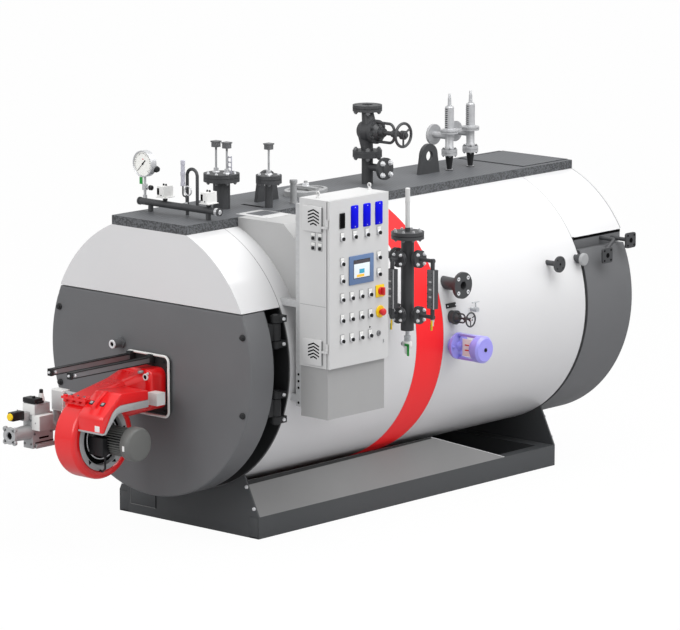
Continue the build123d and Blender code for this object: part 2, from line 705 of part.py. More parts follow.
def door_lining():
    """Refractory block on the back of the door, inside the turning chamber."""
    inset = COLLAR_WALL + LINING_CLEARANCE
    face = d_face(COLLAR_RADIUS - inset, COLLAR_TOP_RISE - inset)
    lining = between(face, DOOR_DEPTH, DOOR_DEPTH + LINING_DEPTH)
    start = (0, y_at(DOOR_DEPTH), FURNACE_Z)
    return lining - rod(start, (0, 1, 0), BLAST_RADIUS + BLAST_CLEARANCE, LINING_DEPTH)


def hinge_levels():
    """Heights of the two door hinges."""
    return (AXIS_HEIGHT - HINGE_RISE, AXIS_HEIGHT + HINGE_RISE)


def door_hinge_brackets():
    """Pairs of lugs on the casing front, each pair holding an upright pin."""
    brackets = Part()
    y_pin = y_at(HINGE_STATION)
    half = HINGE_KNUCKLE_HEIGHT / 2 + HINGE_LUG_GAP
    for level in hinge_levels():
        bracket = rod((HINGE_X, y_pin, level - half - HINGE_LUG_HEIGHT), (0, 0, 1), HINGE_PIN_RADIUS,
                      2 * (half + HINGE_LUG_HEIGHT))
        for low in (level - half - HINGE_LUG_HEIGHT, level + half):
            x_limits = (HINGE_X - HINGE_KNUCKLE_RADIUS, HINGE_X + HINGE_KNUCKLE_RADIUS)
            bracket += block(x_limits, (y_pin, y_at(COLLAR_FLANGE_STATION)), (low, low + HINGE_LUG_HEIGHT))
            bracket += rod((HINGE_X, y_pin, low), (0, 0, 1), HINGE_KNUCKLE_RADIUS, HINGE_LUG_HEIGHT)
        brackets += bracket
    return brackets


def door_hinge_leaves():
    """Knuckles on the back of the door that turn on the pins."""
    leaves = Part()
    y_pin = y_at(HINGE_STATION)
    for level in hinge_levels():
        low, high = level - HINGE_KNUCKLE_HEIGHT / 2, level + HINGE_KNUCKLE_HEIGHT / 2
        arm_x = (HINGE_X - HINGE_KNUCKLE_RADIUS, HINGE_X + HINGE_KNUCKLE_RADIUS / 3)
        leaf = block(arm_x, (y_at(DOOR_DEPTH), y_pin), (low, high))
        leaf += rod((HINGE_X, y_pin, low), (0, 0, 1), HINGE_KNUCKLE_RADIUS, HINGE_KNUCKLE_HEIGHT)
        bore = HINGE_PIN_RADIUS + RUNNING_GAP
        leaves += leaf - rod((HINGE_X, y_pin, low), (0, 0, 1), bore, HINGE_KNUCKLE_HEIGHT)
    return leaves


def sight_glass():
    """Inspection stub with a collared end on the door."""
    start = (SIGHT_X, y_at(0), AXIS_HEIGHT + SIGHT_RISE)
    collar = SIGHT_LENGTH / 4
    steps = ((SIGHT_RADIUS * SIGHT_COLLAR, collar), (SIGHT_RADIUS, SIGHT_LENGTH - collar))
    return turned(start, (0, -1, 0), steps)


# Burner, hung on the door

def burner_flange():
    """Square mounting plate with the flame tube that reaches into the furnace."""
    plate_face = RectangleRounded(BURNER_PLATE_WIDTH, BURNER_PLATE_HEIGHT, BURNER_PLATE_CORNER)
    plane = Plane((0, y_at(0), FURNACE_Z), x_dir=(1, 0, 0), z_dir=(0, -1, 0))
    plate = extrude(plane * plate_face, BURNER_PLATE_THICKNESS)
    return plate + pipe((0, y_at(0), FURNACE_Z), (0, 1, 0), BLAST_RADIUS, BLAST_WALL, BLAST_REACH)


def burner_casing():
    """Cast body: square head, duct lofted down to its mouth, and fan volute with its intake recess."""
    head_start = -BURNER_PLATE_THICKNESS
    head_z = FURNACE_Z + (HEAD_ABOVE - HEAD_BELOW) / 2
    head_face = RectangleRounded(HEAD_WIDTH, HEAD_ABOVE + HEAD_BELOW, HEAD_CORNER)
    head = extrude(front_plane(0, head_start, head_z) * head_face, HEAD_DEPTH)
    head = fillet(head.faces().sort_by(Axis.Y)[0].edges(), HEAD_ROUND)
    axis_y, axis_z = y_at(VOLUTE_STATION), FURNACE_Z - VOLUTE_DROP
    left = VOLUTE_FACE_X - VOLUTE_WIDTH
    volute = rod((left, axis_y, axis_z), (1, 0, 0), VOLUTE_RADIUS, VOLUTE_WIDTH)
    volute = fillet(volute.edges().filter_by(GeomType.CIRCLE), VOLUTE_ROUND)
    mouth_x = VOLUTE_FACE_X - VOLUTE_WIDTH / 2
    mouth_z = axis_z + DUCT_MOUTH_RISE
    mouth_face = RectangleRounded(VOLUTE_WIDTH, DUCT_MOUTH_HEIGHT, DUCT_CORNER)
    root = front_plane(0, head_start - HEAD_DEPTH / 2, head_z) * head_face
    neck = front_plane(mouth_x, DUCT_NECK_STATION, head_z - DUCT_NECK_DROP) * mouth_face
    duct = loft([root, neck, front_plane(mouth_x, DUCT_MOUTH_STATION, mouth_z) * mouth_face], ruled=True)
    lip_x = (left - DUCT_LIP_OVERHANG, VOLUTE_FACE_X + DUCT_LIP_OVERHANG)
    lip_y = (y_at(DUCT_MOUTH_STATION - DUCT_LIP_DEPTH / 2), y_at(DUCT_MOUTH_STATION + DUCT_LIP_DEPTH / 2))
    lip_top = mouth_z + DUCT_MOUTH_HEIGHT / 2
    lip = block(lip_x, lip_y, (lip_top - DUCT_LIP_THICKNESS, lip_top))
    recess = (VOLUTE_FACE_X - VOLUTE_RECESS, axis_y, axis_z)
    return head + volute + duct + lip - turned(recess, (1, 0, 0), ((*VOLUTE_RECESS_RADII, VOLUTE_RECESS),))


def burner_motor():
    """Fan motor with its intake ring in the recess of the volute and a rounded end cap."""
    start = (VOLUTE_FACE_X - VOLUTE_RECESS, y_at(VOLUTE_STATION), FURNACE_Z - VOLUTE_DROP)
    inner, outer = MOTOR_RING_RADII
    steps = (
        (outer, inner, MOTOR_RING_WIDTH), (MOTOR_RADIUS, MOTOR_BODY_LENGTH),
        (MOTOR_CAP_RADIUS, MOTOR_CAP_LENGTH),
    )
    motor = turned(start, (1, 0, 0), steps)
    return fillet(motor.faces().sort_by(Axis.X)[-1].edges(), MOTOR_CAP_ROUND)


def burner_cover():
    """Bent control cover beside the duct, arched over the motor."""
    top, nose, foot = (FURNACE_Z + rise for rise in (COVER_TOP_RISE, COVER_NOSE_RISE, COVER_FOOT_RISE))
    rear, bend, front = (y_at(s) for s in (COVER_REAR_STATION, COVER_BEND_STATION, COVER_NOSE_STATION))
    outline = Polyline(
        (rear, top - COVER_DEPTH), (rear, top), (bend, top), (front, nose), (front, foot),
        (front + COVER_LIP, foot), (bend, top - COVER_DEPTH), close=True,
    )
    side = Plane((VOLUTE_FACE_X + SEAT_GAP, 0, 0), x_dir=(0, 1, 0), z_dir=(1, 0, 0))
    cover = extrude(side * make_face(outline), COVER_WIDTH)
    return fillet(cover.edges().filter_by(Axis.X), COVER_ROUND)


def burner_servo():
    """Damper motor box behind the cover, on the side of the head."""
    x = HEAD_WIDTH / 2
    middle = FURNACE_Z - SERVO_DROP
    y_limits = (y_at(SERVO_STATION), y_at(SERVO_STATION + SERVO_DEPTH))
    return block((x, x + SERVO_WIDTH), y_limits, (middle - SERVO_HEIGHT / 2, middle + SERVO_HEIGHT / 2))


def burner_slide_bars():
    """Two channel bars on which the burner draws back."""
    foot = FURNACE_Z + BURNER_PLATE_HEIGHT / 2 - SLIDE_BAR_HEIGHT
    back = y_at(-BURNER_PLATE_THICKNESS)
    bars = Part()
    for x in SLIDE_BAR_X:
        half = SLIDE_BAR_WIDTH / 2
        bar = block((x - half, x + half), (back - SLIDE_BAR_LENGTH, back), (foot, foot + SLIDE_BAR_HEIGHT))
        half -= SLIDE_BAR_WALL
        slot = (foot, foot + SLIDE_BAR_HEIGHT - SLIDE_BAR_WALL)
        bars += bar - block((x - half, x + half), (back - SLIDE_BAR_LENGTH, back), slot)
    return bars


def gas_train():
    """Gas valve block with its inlet flange, actuator boxes and the pipe to the volute."""
    z = FURNACE_Z - GAS_DROP
    half = GAS_BLOCK_WIDTH / 2
    start, end = y_at(GAS_BLOCK_START), y_at(GAS_BLOCK_START + GAS_BLOCK_LENGTH)
    top = z + GAS_BLOCK_HEIGHT / 2
    body = block((GAS_X - half, GAS_X + half), (start, end), (z - GAS_BLOCK_HEIGHT / 2, top))
    body = fillet(body.edges().filter_by(Axis.Y), GAS_BLOCK_ROUND)
    face = (GAS_X, start - GAS_FLANGE_THICKNESS, z)
    body += bored_flange(face, (0, -1, 0), GAS_FLANGE_RADIUS, GAS_FLANGE_THICKNESS, GAS_BORE_RADIUS,
                         GAS_BOLT_CIRCLE, FLANGE_BOLTS, GAS_BOLT_RADIUS)
    box_start = start + GAS_TOP_BOX_INSET
    for size in (GAS_TOP_BOX, GAS_PLUG):
        body += Pos(GAS_X, box_start + size[1] / 2, top + size[2] / 2) * Box(*size)
        top += size[2]
    vent_y = box_start + (GAS_TOP_BOX[1] + GAS_PLUG[1]) / 2
    body += turned((GAS_X, vent_y, top - GAS_PLUG[2]), (0, 0, 1), GAS_VENT_STEPS)
    side_y = start + GAS_SIDE_BOX_INSET + GAS_SIDE_BOX[1] / 2
    body += Pos(GAS_X + half + GAS_SIDE_BOX[0] / 2, side_y, z + GAS_SIDE_BOX_RISE) * Box(*GAS_SIDE_BOX)
    riser_y, riser_top = y_at(GAS_RISER_STATION), z + GAS_RISER_RISE
    volute_side = VOLUTE_FACE_X - VOLUTE_WIDTH
    route = FilletPolyline(
        (GAS_X, end, z), (GAS_X, riser_y, z), (GAS_X, riser_y, riser_top),
        (volute_side, riser_y, riser_top), radius=GAS_PIPE_BEND,
    )
    return body + sweep(Plane((GAS_X, end, z), z_dir=(0, 1, 0)) * Circle(GAS_PIPE_RADIUS), route)


# Control cabinet

CABINET_FRONT_X = CABINET_BACK_X + CABINET_DEPTH
CABINET_HINGE_X = CABINET_FRONT_X + CABINET_DOOR_GAP + CABINET_HINGE_RADIUS / 2
CABINET_HINGE_Y = y_at(CABINET_START - CABINET_HINGE_OFFSET)
CABINET_TOP = CABINET_FOOT + CABINET_HEIGHT
DOOR_FACE_X = CABINET_FRONT_X + CABINET_DOOR_GAP + CABINET_DOOR_THICKNESS


def cabinet_hinge_levels():
    """Heights of the two cabinet hinges."""
    return (CABINET_FOOT + CABINET_HINGE_INSET, CABINET_TOP - CABINET_HINGE_INSET)


def cabinet_body():
    """Folded box, open at the front, with lift-off hinge pins on its front edge."""
    y_limits = (y_at(CABINET_START), y_at(CABINET_START + CABINET_WIDTH))
    body = block((CABINET_BACK_X, CABINET_FRONT_X), y_limits, (CABINET_FOOT, CABINET_TOP))
    inner_y = (y_limits[0] + CABINET_SHEET, y_limits[1] - CABINET_SHEET)
    inner_z = (CABINET_FOOT + CABINET_SHEET, CABINET_TOP - CABINET_SHEET)
    body -= block((CABINET_BACK_X + CABINET_SHEET, CABINET_FRONT_X), inner_y, inner_z)
    reach = CABINET_HINGE_HEIGHT / 2
    for level in cabinet_hinge_levels():
        pin = (CABINET_HINGE_X, CABINET_HINGE_Y, level - reach - CABINET_HINGE_LUG)
        body += rod(pin, (0, 0, 1), CABINET_HINGE_PIN, CABINET_HINGE_HEIGHT + CABINET_HINGE_LUG)
        body += rod(pin, (0, 0, 1), CABINET_HINGE_RADIUS, CABINET_HINGE_LUG - SEAT_GAP)
        lug_x = (CABINET_FRONT_X - 3 * CABINET_HINGE_RADIUS, CABINET_HINGE_X)
        lug_y = (CABINET_HINGE_Y - CABINET_HINGE_RADIUS, y_limits[0])
        body += block(lug_x, lug_y, (pin[2], pin[2] + CABINET_HINGE_LUG - SEAT_GAP))
    return body


def cabinet_door():
    """Flat door with knuckles that drop onto the hinge pins."""
    x_limits = (CABINET_FRONT_X + CABINET_DOOR_GAP, DOOR_FACE_X)
    y_limits = (y_at(CABINET_START), y_at(CABINET_START + CABINET_WIDTH))
    bore = CABINET_HINGE_PIN + RUNNING_GAP
    door = block(x_limits, (y_limits[0] + CABINET_DOOR_EDGE, y_limits[1]), (CABINET_FOOT, CABINET_TOP))
    reach = CABINET_HINGE_HEIGHT / 2
    for level in cabinet_hinge_levels():
        foot = (CABINET_HINGE_X, CABINET_HINGE_Y, level - reach)
        leaf_x = (x_limits[0], CABINET_HINGE_X + CABINET_HINGE_RADIUS / 2)
        leaf_y = (CABINET_HINGE_Y, y_limits[0] + 2 * CABINET_HINGE_RADIUS)
        door += block(leaf_x, leaf_y, (level - reach, level + reach))
        door += rod(foot, (0, 0, 1), CABINET_HINGE_RADIUS, CABINET_HINGE_HEIGHT)
        door -= rod((foot[0], foot[1], CABINET_FOOT), (0, 0, 1), bore, CABINET_HEIGHT)
    return door


def on_door(across, drop):
    """Point of the cabinet door's face, from its hinge edge and from its top."""
    return Vector(DOOR_FACE_X, y_at(CABINET_START + across), CABINET_TOP - drop)


def door_plate(across, drop, width, height, thickness):
    """Flat device standing on the cabinet door."""
    centre = on_door(across, drop) + Vector(thickness / 2, 0, 0)
    return Pos(*centre) * Box(thickness, width, height)


def door_displays():
    """Touch panel and the row of digital indicators."""
    panels = [door_plate(x, DISPLAY_DROP, *DISPLAY_SIZE, DISPLAY_DEPTH) for x in UPPER_COLUMNS]
    return Part() + [door_plate(*TOUCH_PLACE, *TOUCH_SIZE, DISPLAY_DEPTH), *panels]


def selector_places():
    """Selector switches: a row under the indicators, pairs beside the panel and three lower rows."""
    places = [(x, SELECTOR_DROP) for x in UPPER_COLUMNS]
    places += [(x, drop) for x in (UPPER_COLUMNS[0], UPPER_COLUMNS[-1]) for drop in SIDE_DROPS]
    return places + [(x, drop) for x in LOWER_COLUMNS for drop in LOWER_DROPS]


def door_switches():
    """Round selector switches on square legend plates."""
    switches = Part()
    for across, drop in selector_places():
        switches += door_plate(across, drop, *LEGEND_SIZE, LEGEND_DEPTH)
        switches += rod(on_door(across, drop), (1, 0, 0), SELECTOR_RADIUS, SELECTOR_DEPTH)
    return switches


def main_switches():
    """Main isolator and emergency stop."""
    switches = Part()
    for drop in LOWER_DROPS[:2]:
        switches += door_plate(MAIN_ACROSS, drop, MAIN_PLATE, MAIN_PLATE, LEGEND_DEPTH)
        switches += rod(on_door(MAIN_ACROSS, drop), (1, 0, 0), MAIN_KNOB_RADIUS, MAIN_KNOB_DEPTH)
    return switches


def cabinet_uprights():
    """Strut channels behind the cabinet with arms to the cladding."""
    uprights = Part()
    starts = (CABINET_START + UPRIGHT_INSET, CABINET_START + CABINET_WIDTH - UPRIGHT_INSET - UPRIGHT_SIZE)
    for start in starts:
        y_limits = (y_at(start), y_at(start + UPRIGHT_SIZE))
        x_limits = (CABINET_BACK_X - UPRIGHT_SIZE, CABINET_BACK_X)
        upright = block(x_limits, y_limits, (CABINET_FOOT - UPRIGHT_BELOW, CABINET_TOP - UPRIGHT_SIZE))
        for z in (CABINET_FOOT - ARM_BELOW, AXIS_HEIGHT + FLAT_RISE / 2):
            arm = block((0, x_limits[0]), y_limits, (z - UPRIGHT_SIZE / 2, z + UPRIGHT_SIZE / 2))
            upright += off_casing(arm)
        uprights += upright
    return uprights


def cabinet_plinth():
    """Sheet box for the cables below the cabinet, open at its foot."""
    y_limits = (y_at(CABINET_START + PLINTH_INSET), y_at(CABINET_START + CABINET_WIDTH - PLINTH_INSET))
    foot = CABINET_FOOT - PLINTH_HEIGHT
    body = block((CABINET_BACK_X, CABINET_FRONT_X), y_limits, (foot, CABINET_FOOT))
    inner_x = (CABINET_BACK_X + CABINET_SHEET, CABINET_FRONT_X - CABINET_SHEET)
    inner_y = (y_limits[0] + CABINET_SHEET, y_limits[1] - CABINET_SHEET)
    return body - block(inner_x, inner_y, (foot, CABINET_FOOT - CABINET_SHEET))


def cable_duct():
    """Sheet trunking from the walkway, sloping down to the back of the cabinet."""
    near = PLATFORM_WIDTH / 2 + SEAT_GAP
    tip = AXIS_HEIGHT + FLAT_RISE / 2
    outline = Polyline(
        (near, FLAT_Z - UPRIGHT_SIZE), (near, WALK_Z), (DUCT_TOP_X, WALK_Z),
        (CABINET_BACK_X, CABINET_TOP - DUCT_CABINET_DROP), (CABINET_BACK_X, tip),
        (CABINET_BACK_X - 2 * INSULATION, tip), close=True,
    )
    face = Plane((0, 0, 0), x_dir=(1, 0, 0), z_dir=(0, -1, 0)) * make_face(outline)
    return off_casing(between(face, DUCT_START, DUCT_START + DUCT_LENGTH))


# Crown fittings

def gauge_header():
    """Capped pipe across the crown that carries the gauge and switches, on two feet."""
    y, z = y_at(HEADER_STATION), WALK_Z + HEADER_RISE
    left, right = HEADER_X
    cap = (HEADER_CAP_RADIUS, HEADER_CAP_LENGTH)
    barrel = (HEADER_RADIUS, right - left - 2 * HEADER_CAP_LENGTH)
    header = turned((left, y, z), (1, 0, 0), (cap, barrel, cap))
    for x in (left + HEADER_FOOT_INSET, right - HEADER_FOOT_INSET):
        header += rod((x, y, WALK_Z), (0, 0, 1), HEADER_FOOT_RADIUS, HEADER_RISE)
    return header


def pressure_gauge():
    """Dial gauge with a rimmed face on a stem above the header, and its cock."""
    y = y_at(HEADER_STATION)
    dial_z = WALK_Z + GAUGE_RISE
    dial = rod((GAUGE_X, y + GAUGE_DEPTH / 2, dial_z), (0, -1, 0), GAUGE_RADIUS, GAUGE_DEPTH)
    dial -= rod((GAUGE_X, y - GAUGE_DEPTH / 2, dial_z), (0, 1, 0), GAUGE_RADIUS - GAUGE_RIM, GAUGE_RIM / 2)
    stem = turned((GAUGE_X, y, HEADER_TOP), (0, 0, 1), GAUGE_STEM_STEPS)
    return dial + stem + turned((GAUGE_X, y, HEADER_TOP + GAUGE_COCK_RISE), (1, 0, 0), GAUGE_COCK_STEPS)


def pressure_switches():
    """Two boxed pressure switches on plates and stubs above the header."""
    y = y_at(HEADER_STATION)
    plate_z = HEADER_TOP + SWITCH_STUB_HEIGHT + SWITCH_PLATE[2] / 2
    case_z = plate_z + (SWITCH_PLATE[2] + SWITCH_BOX[2]) / 2
    switches = Part()
    for x in SWITCH_X:
        case = fillet((Pos(x, y, case_z) * Box(*SWITCH_BOX)).edges().filter_by(Axis.Z), SWITCH_ROUND)
        switches += rod((x, y, HEADER_TOP), (0, 0, 1), SWITCH_STUB_RADIUS, SWITCH_STUB_HEIGHT)
        switches += Pos(x, y, plate_z) * Box(*SWITCH_PLATE) + case
    return switches


def siphon_pipes():
    """U-bend siphon behind the header and the pigtail under a slim transmitter."""
    y, back = y_at(HEADER_STATION), y_at(SIPHON_STATION)
    left, right = SIPHON_X, SIPHON_X + SIPHON_SPAN
    top, axis_z = WALK_Z + SIPHON_TOP_RISE, WALK_Z + HEADER_RISE
    route = FilletPolyline((left, back, WALK_Z), (left, back, top), (right, back, top), (right, back, axis_z),
                           radius=SIPHON_BEND)
    bend = sweep(Plane((left, back, WALK_Z), z_dir=(0, 0, 1)) * Circle(SIPHON_RADIUS), route)
    foot_y = y + HEADER_RADIUS + SEAT_GAP
    bend += rod((right, foot_y, axis_z), (0, 1, 0), SIPHON_ELBOW_RADIUS, back + SIPHON_ELBOW_RADIUS - foot_y)
    near, far = PIGTAIL_X
    turn_z, end_z = (HEADER_TOP + rise for rise in PIGTAIL_RISES)
    route = FilletPolyline((near, y, HEADER_TOP), (near, y, turn_z), (far, y, turn_z), (far, y, end_z),
                           radius=PIGTAIL_BEND)
    pigtail = sweep(Plane((near, y, HEADER_TOP), z_dir=(0, 0, 1)) * Circle(PIGTAIL_RADIUS), route)
    return bend + pigtail + turned((far, y, end_z), (0, 0, 1), TRANSMITTER_STEPS)


def electrode_pots():
    """Stubs in the crown with paired flanges for the level electrodes."""
    pots = Part()
    for x, station, neck, flange, high in POTS:
        plate = (flange, POT_FLANGE_THICKNESS)
        neck_step = (neck, high - 2 * POT_FLANGE_THICKNESS - POT_GASKET)
        steps = (neck_step, plate, (flange - POT_GASKET, POT_GASKET), plate)
        pots += turned((x, y_at(station), WALK_Z), (0, 0, 1), steps)
    return pots


def electrode_heads():
    """Electrode rods and their lidded terminal heads: two on the wide stub, one on the slim one."""
    heads = Part()
    head_rise = sum(length for _, length in ELECTRODE_STEPS)
    (wide_x, wide_station, *_, wide_high), (slim_x, slim_station, *_, slim_high) = POTS
    places = [(wide_x + side * ELECTRODE_SPREAD, wide_station, wide_high) for side in (-1, 1)]
    for x, station, high in (*places, (slim_x, slim_station, slim_high)):
        foot = Vector(x, y_at(station), WALK_Z + high)
        heads += turned(foot, (0, 0, 1), ELECTRODE_STEPS)
        rise = head_rise
        for size in (ELECTRODE_HEAD, ELECTRODE_LID):
            heads += Pos(*(foot + Vector(0, 0, rise + size[2] / 2))) * Box(*size)
            rise += size[2]
    return heads


def crown_handhole():
    """Oval head-hole with its sunk cover, bridge and stud."""
    y = y_at(HANDHOLE_STATION)
    half_x, half_y = HANDHOLE_WIDTH / 2, HANDHOLE_LENGTH / 2
    ring = extrude(Plane((HANDHOLE_X, y, WALK_Z)) * Ellipse(half_x, half_y), HANDHOLE_HEIGHT)
    ring = fillet(ring.edges().sort_by(Axis.Z)[-1], HANDHOLE_ROUND)
    floor_z = WALK_Z + HANDHOLE_HEIGHT - HANDHOLE_RECESS
    sunk = Plane((HANDHOLE_X, y, floor_z)) * Ellipse(half_x - HANDHOLE_RIM, half_y - HANDHOLE_RIM)
    ring -= extrude(sunk, HANDHOLE_RECESS)
    bridge_z = WALK_Z + HANDHOLE_HEIGHT + HANDHOLE_BRIDGE[2] / 2
    ring += Pos(HANDHOLE_X, y, bridge_z) * Box(*HANDHOLE_BRIDGE)
    return ring + rod((HANDHOLE_X, y, floor_z), (0, 0, 1), HANDHOLE_STUD_RADIUS, HANDHOLE_STUD_HEIGHT)


def vent_stub():
    """Capped vent stub on the crown."""
    return turned((VENT_X, y_at(VENT_STATION), WALK_Z), (0, 0, 1), VENT_STEPS)


def lifting_lugs():
    """Upright eye plates along the crown."""
    lugs = Part()
    for station in LUG_STATIONS:
        half = LUG_LENGTH / 2
        y = y_at(station)
        round_top = LUG_HEIGHT - LUG_HOLE_RISE
        outline = Polyline((y - half, WALK_Z), (y + half, WALK_Z), (y + round_top, WALK_Z + LUG_HOLE_RISE),
                           (y - round_top, WALK_Z + LUG_HOLE_RISE), close=True)
        side = Plane((-LUG_THICKNESS / 2, 0, 0), x_dir=(0, 1, 0), z_dir=(1, 0, 0))
        plate = extrude(side * make_face(outline), LUG_THICKNESS)
        centre = (-LUG_THICKNESS / 2, y, WALK_Z + LUG_HOLE_RISE)
        plate += rod(centre, (1, 0, 0), round_top, LUG_THICKNESS)
        lugs += plate - rod(centre, (1, 0, 0), LUG_HOLE_RADIUS, LUG_THICKNESS)
    return lugs


def steam_riser():
    """Steam outlet neck with its top flange."""
    start = (0, y_at(CROWN_STATION), WALK_Z)
    face = RISER_HEIGHT - VALVE_FLANGE_THICKNESS
    riser = turned(start, (0, 0, 1), ((RISER_RADIUS, face), (VALVE_FLANGE_RADIUS, VALVE_FLANGE_THICKNESS)))
    branch = (0, y_at(CROWN_STATION), WALK_Z + BRANCH_RISE)
    blind = (BRANCH_FLANGE_RADIUS, BRANCH_FLANGE_THICKNESS)
    return riser + turned(branch, (1, 0, 0), ((BRANCH_RADIUS, BRANCH_REACH), blind))


def u_yoke(start_x, end_x, half, bend, radius, y, z):
    """Rod yoke bent to a U in the upright plane through a stem along X."""
    corners = [(start_x, y, z + half), (end_x, y, z + half), (end_x, y, z - half), (start_x, y, z - half)]
    return sweep(Plane(corners[0], z_dir=(1, 0, 0)) * Circle(radius), FilletPolyline(*corners, radius=bend))


def crown_valve():
    """Globe stop valve on the riser: bent necks, round chest, bonnet and yoke towards the cabinet side."""
    y, foot = y_at(CROWN_STATION), WALK_Z + RISER_HEIGHT
    middle = foot + VALVE_FACE_TO_FACE / 2
    body = turned((0, y, foot), (0, 0, 1), ((VALVE_FLANGE_RADIUS - VALVE_GASKET, VALVE_GASKET),
                                            (VALVE_FLANGE_RADIUS, VALVE_FLANGE_THICKNESS)))
    low, high = foot + VALVE_FLANGE_THICKNESS, foot + VALVE_FACE_TO_FACE - VALVE_FLANGE_THICKNESS
    for end, side in ((low, -1), (high, 1)):
        inner = Plane((side * VALVE_OFFSET, y, middle)) * Circle(VALVE_CHEST_RADIUS)
        body += loft([Plane((0, y, end)) * Circle(VALVE_NECK_RADIUS), inner])
    top = foot + VALVE_FACE_TO_FACE + VALVE_FLANGE_THICKNESS
    body += bored_flange((0, y, top), (0, 0, 1), VALVE_FLANGE_RADIUS, 2 * VALVE_FLANGE_THICKNESS,
                         VALVE_BORE_RADIUS, VALVE_BOLT_CIRCLE, FLANGE_BOLTS, VALVE_BOLT_RADIUS)
    body += turned((VALVE_CHEST_START, y, middle), (1, 0, 0), VALVE_CHEST_STEPS)
    body += u_yoke(YOKE_START, YOKE_END, YOKE_HALF, YOKE_BEND, YOKE_ROD, y, middle)
    bush = (YOKE_END - YOKE_BUSH_LENGTH / 2, y, middle)
    return body + rod(bush, (1, 0, 0), YOKE_BUSH_RADIUS, YOKE_BUSH_LENGTH)


def handwheel(centre, axis, radius, rim, bore):
    """Spoked wheel about an axis, bored for its stem."""
    plane = Plane(centre, z_dir=axis)
    wheel = plane * Torus(radius - rim, rim)
    hub = Cylinder(bore * 2, 3 * rim)
    spoke = Pos((radius - rim) / 2, 0, 0) * Rot(0, 90, 0) * Cylinder(rim * SPOKE_SHARE, radius - rim)
    wheel += plane * hub
    for i in range(WHEEL_SPOKES):
        wheel += plane * Rot(0, 0, 360 / WHEEL_SPOKES * (i + 0.5)) * spoke
    return wheel - plane * Cylinder(bore, 4 * rim)


def crown_handwheel():
    """Wheel on the crown valve's stem."""
    middle = WALK_Z + RISER_HEIGHT + VALVE_FACE_TO_FACE / 2
    centre = (WHEEL_REACH, y_at(CROWN_STATION), middle)
    return handwheel(centre, (1, 0, 0), WHEEL_RADIUS, WHEEL_RIM, STEM_RADIUS + RUNNING_GAP)


def safety_valves():
    """Two spring safety valves with side outlets."""
    valves = Part()
    for station in SAFETY_STATIONS:
        valves += turned((SAFETY_X, y_at(station), WALK_Z), (0, 0, 1), SAFETY_STEPS)
        outlet = (SAFETY_X, y_at(station), WALK_Z + SAFETY_OUTLET_RISE)
        valves += turned(outlet, (-1, 0, 0), SAFETY_OUTLET_STEPS)
    return valves


# Side fittings

def feed_nozzle():
    """Flanged feed-water nozzle with a tapered neck."""
    start = (INSIDE_X, y_at(FITTING_STATION), SHUTOFF_HEIGHT + FEED_RISE)
    length = FEED_FACE_X - FEED_FLANGE_THICKNESS - INSIDE_X
    neck = turned(start, (1, 0, 0), ((*FEED_NECK_RADII, length),))
    neck -= rod(start, (1, 0, 0), FEED_BORE_RADIUS, length)
    face = (FEED_FACE_X, *start[1:])
    flange = bored_flange(face, (1, 0, 0), FEED_FLANGE_RADIUS, FEED_FLANGE_THICKNESS, FEED_BORE_RADIUS,
                          FEED_BOLT_CIRCLE, FLANGE_BOLTS, FEED_BOLT_RADIUS)
    return off_casing(neck) + flange


def shutoff_valve():
    """Small globe valve screwed into the shell, with its yoke."""
    y, z = y_at(FITTING_STATION), SHUTOFF_HEIGHT
    body = off_casing(turned((INSIDE_X, y, z), (1, 0, 0), SHUTOFF_STEPS))
    body += u_yoke(*SHUTOFF_YOKE, y, z)
    radius, length = SHUTOFF_BUSH
    return body + rod((SHUTOFF_YOKE[1] - length / 2, y, z), (1, 0, 0), radius, length)


def shutoff_handwheel():
    """Wheel on the small globe valve."""
    centre = (SHUTOFF_WHEEL_X, y_at(FITTING_STATION), SHUTOFF_HEIGHT)
    bore = SHUTOFF_STEM + RUNNING_GAP
    return handwheel(centre, (1, 0, 0), SHUTOFF_WHEEL_RADIUS, SHUTOFF_WHEEL_RIM, bore)


def blowdown_valve():
    """Actuated blow-down valve: body, yoke bars above and below the stem, and the round actuator."""
    y, z = y_at(FITTING_STATION), SHUTOFF_HEIGHT - BLOWDOWN_DROP
    valve = off_casing(turned((INSIDE_X, y, z), (1, 0, 0), BLOWDOWN_STEPS))
    width, thickness = BLOWDOWN_BAR
    for side in (-1, 1):
        middle = z + side * BLOWDOWN_BAR_RISE
        z_limits = (middle - thickness / 2, middle + thickness / 2)
        valve += block(BLOWDOWN_BAR_X, (y - width / 2, y + width / 2), z_limits)
    return valve + turned((BLOWDOWN_DISC_X, y, z), (1, 0, 0), BLOWDOWN_DISC_STEPS)


def level_column():
    """Upright level column with flanged connections to the shell and a float rod tube above."""
    y = y_at(COLUMN_STATION)
    steps = ((COLUMN_RADIUS, COLUMN_HEIGHT), *COLUMN_TOP_STEPS)
    column = turned((COLUMN_X, y, COLUMN_FOOT), (0, 0, 1), steps)
    radius, thickness, start_x = COLUMN_BRANCH_FLANGE
    for level in COLUMN_LEVELS:
        z = COLUMN_FOOT + level
        column += off_casing(rod((0, y, z), (1, 0, 0), COLUMN_BRANCH_RADIUS, COLUMN_X))
        pair = ((radius, thickness), (radius - POT_GASKET, POT_GASKET), (radius, thickness))
        column += turned((start_x, y, z), (1, 0, 0), pair)
    return column


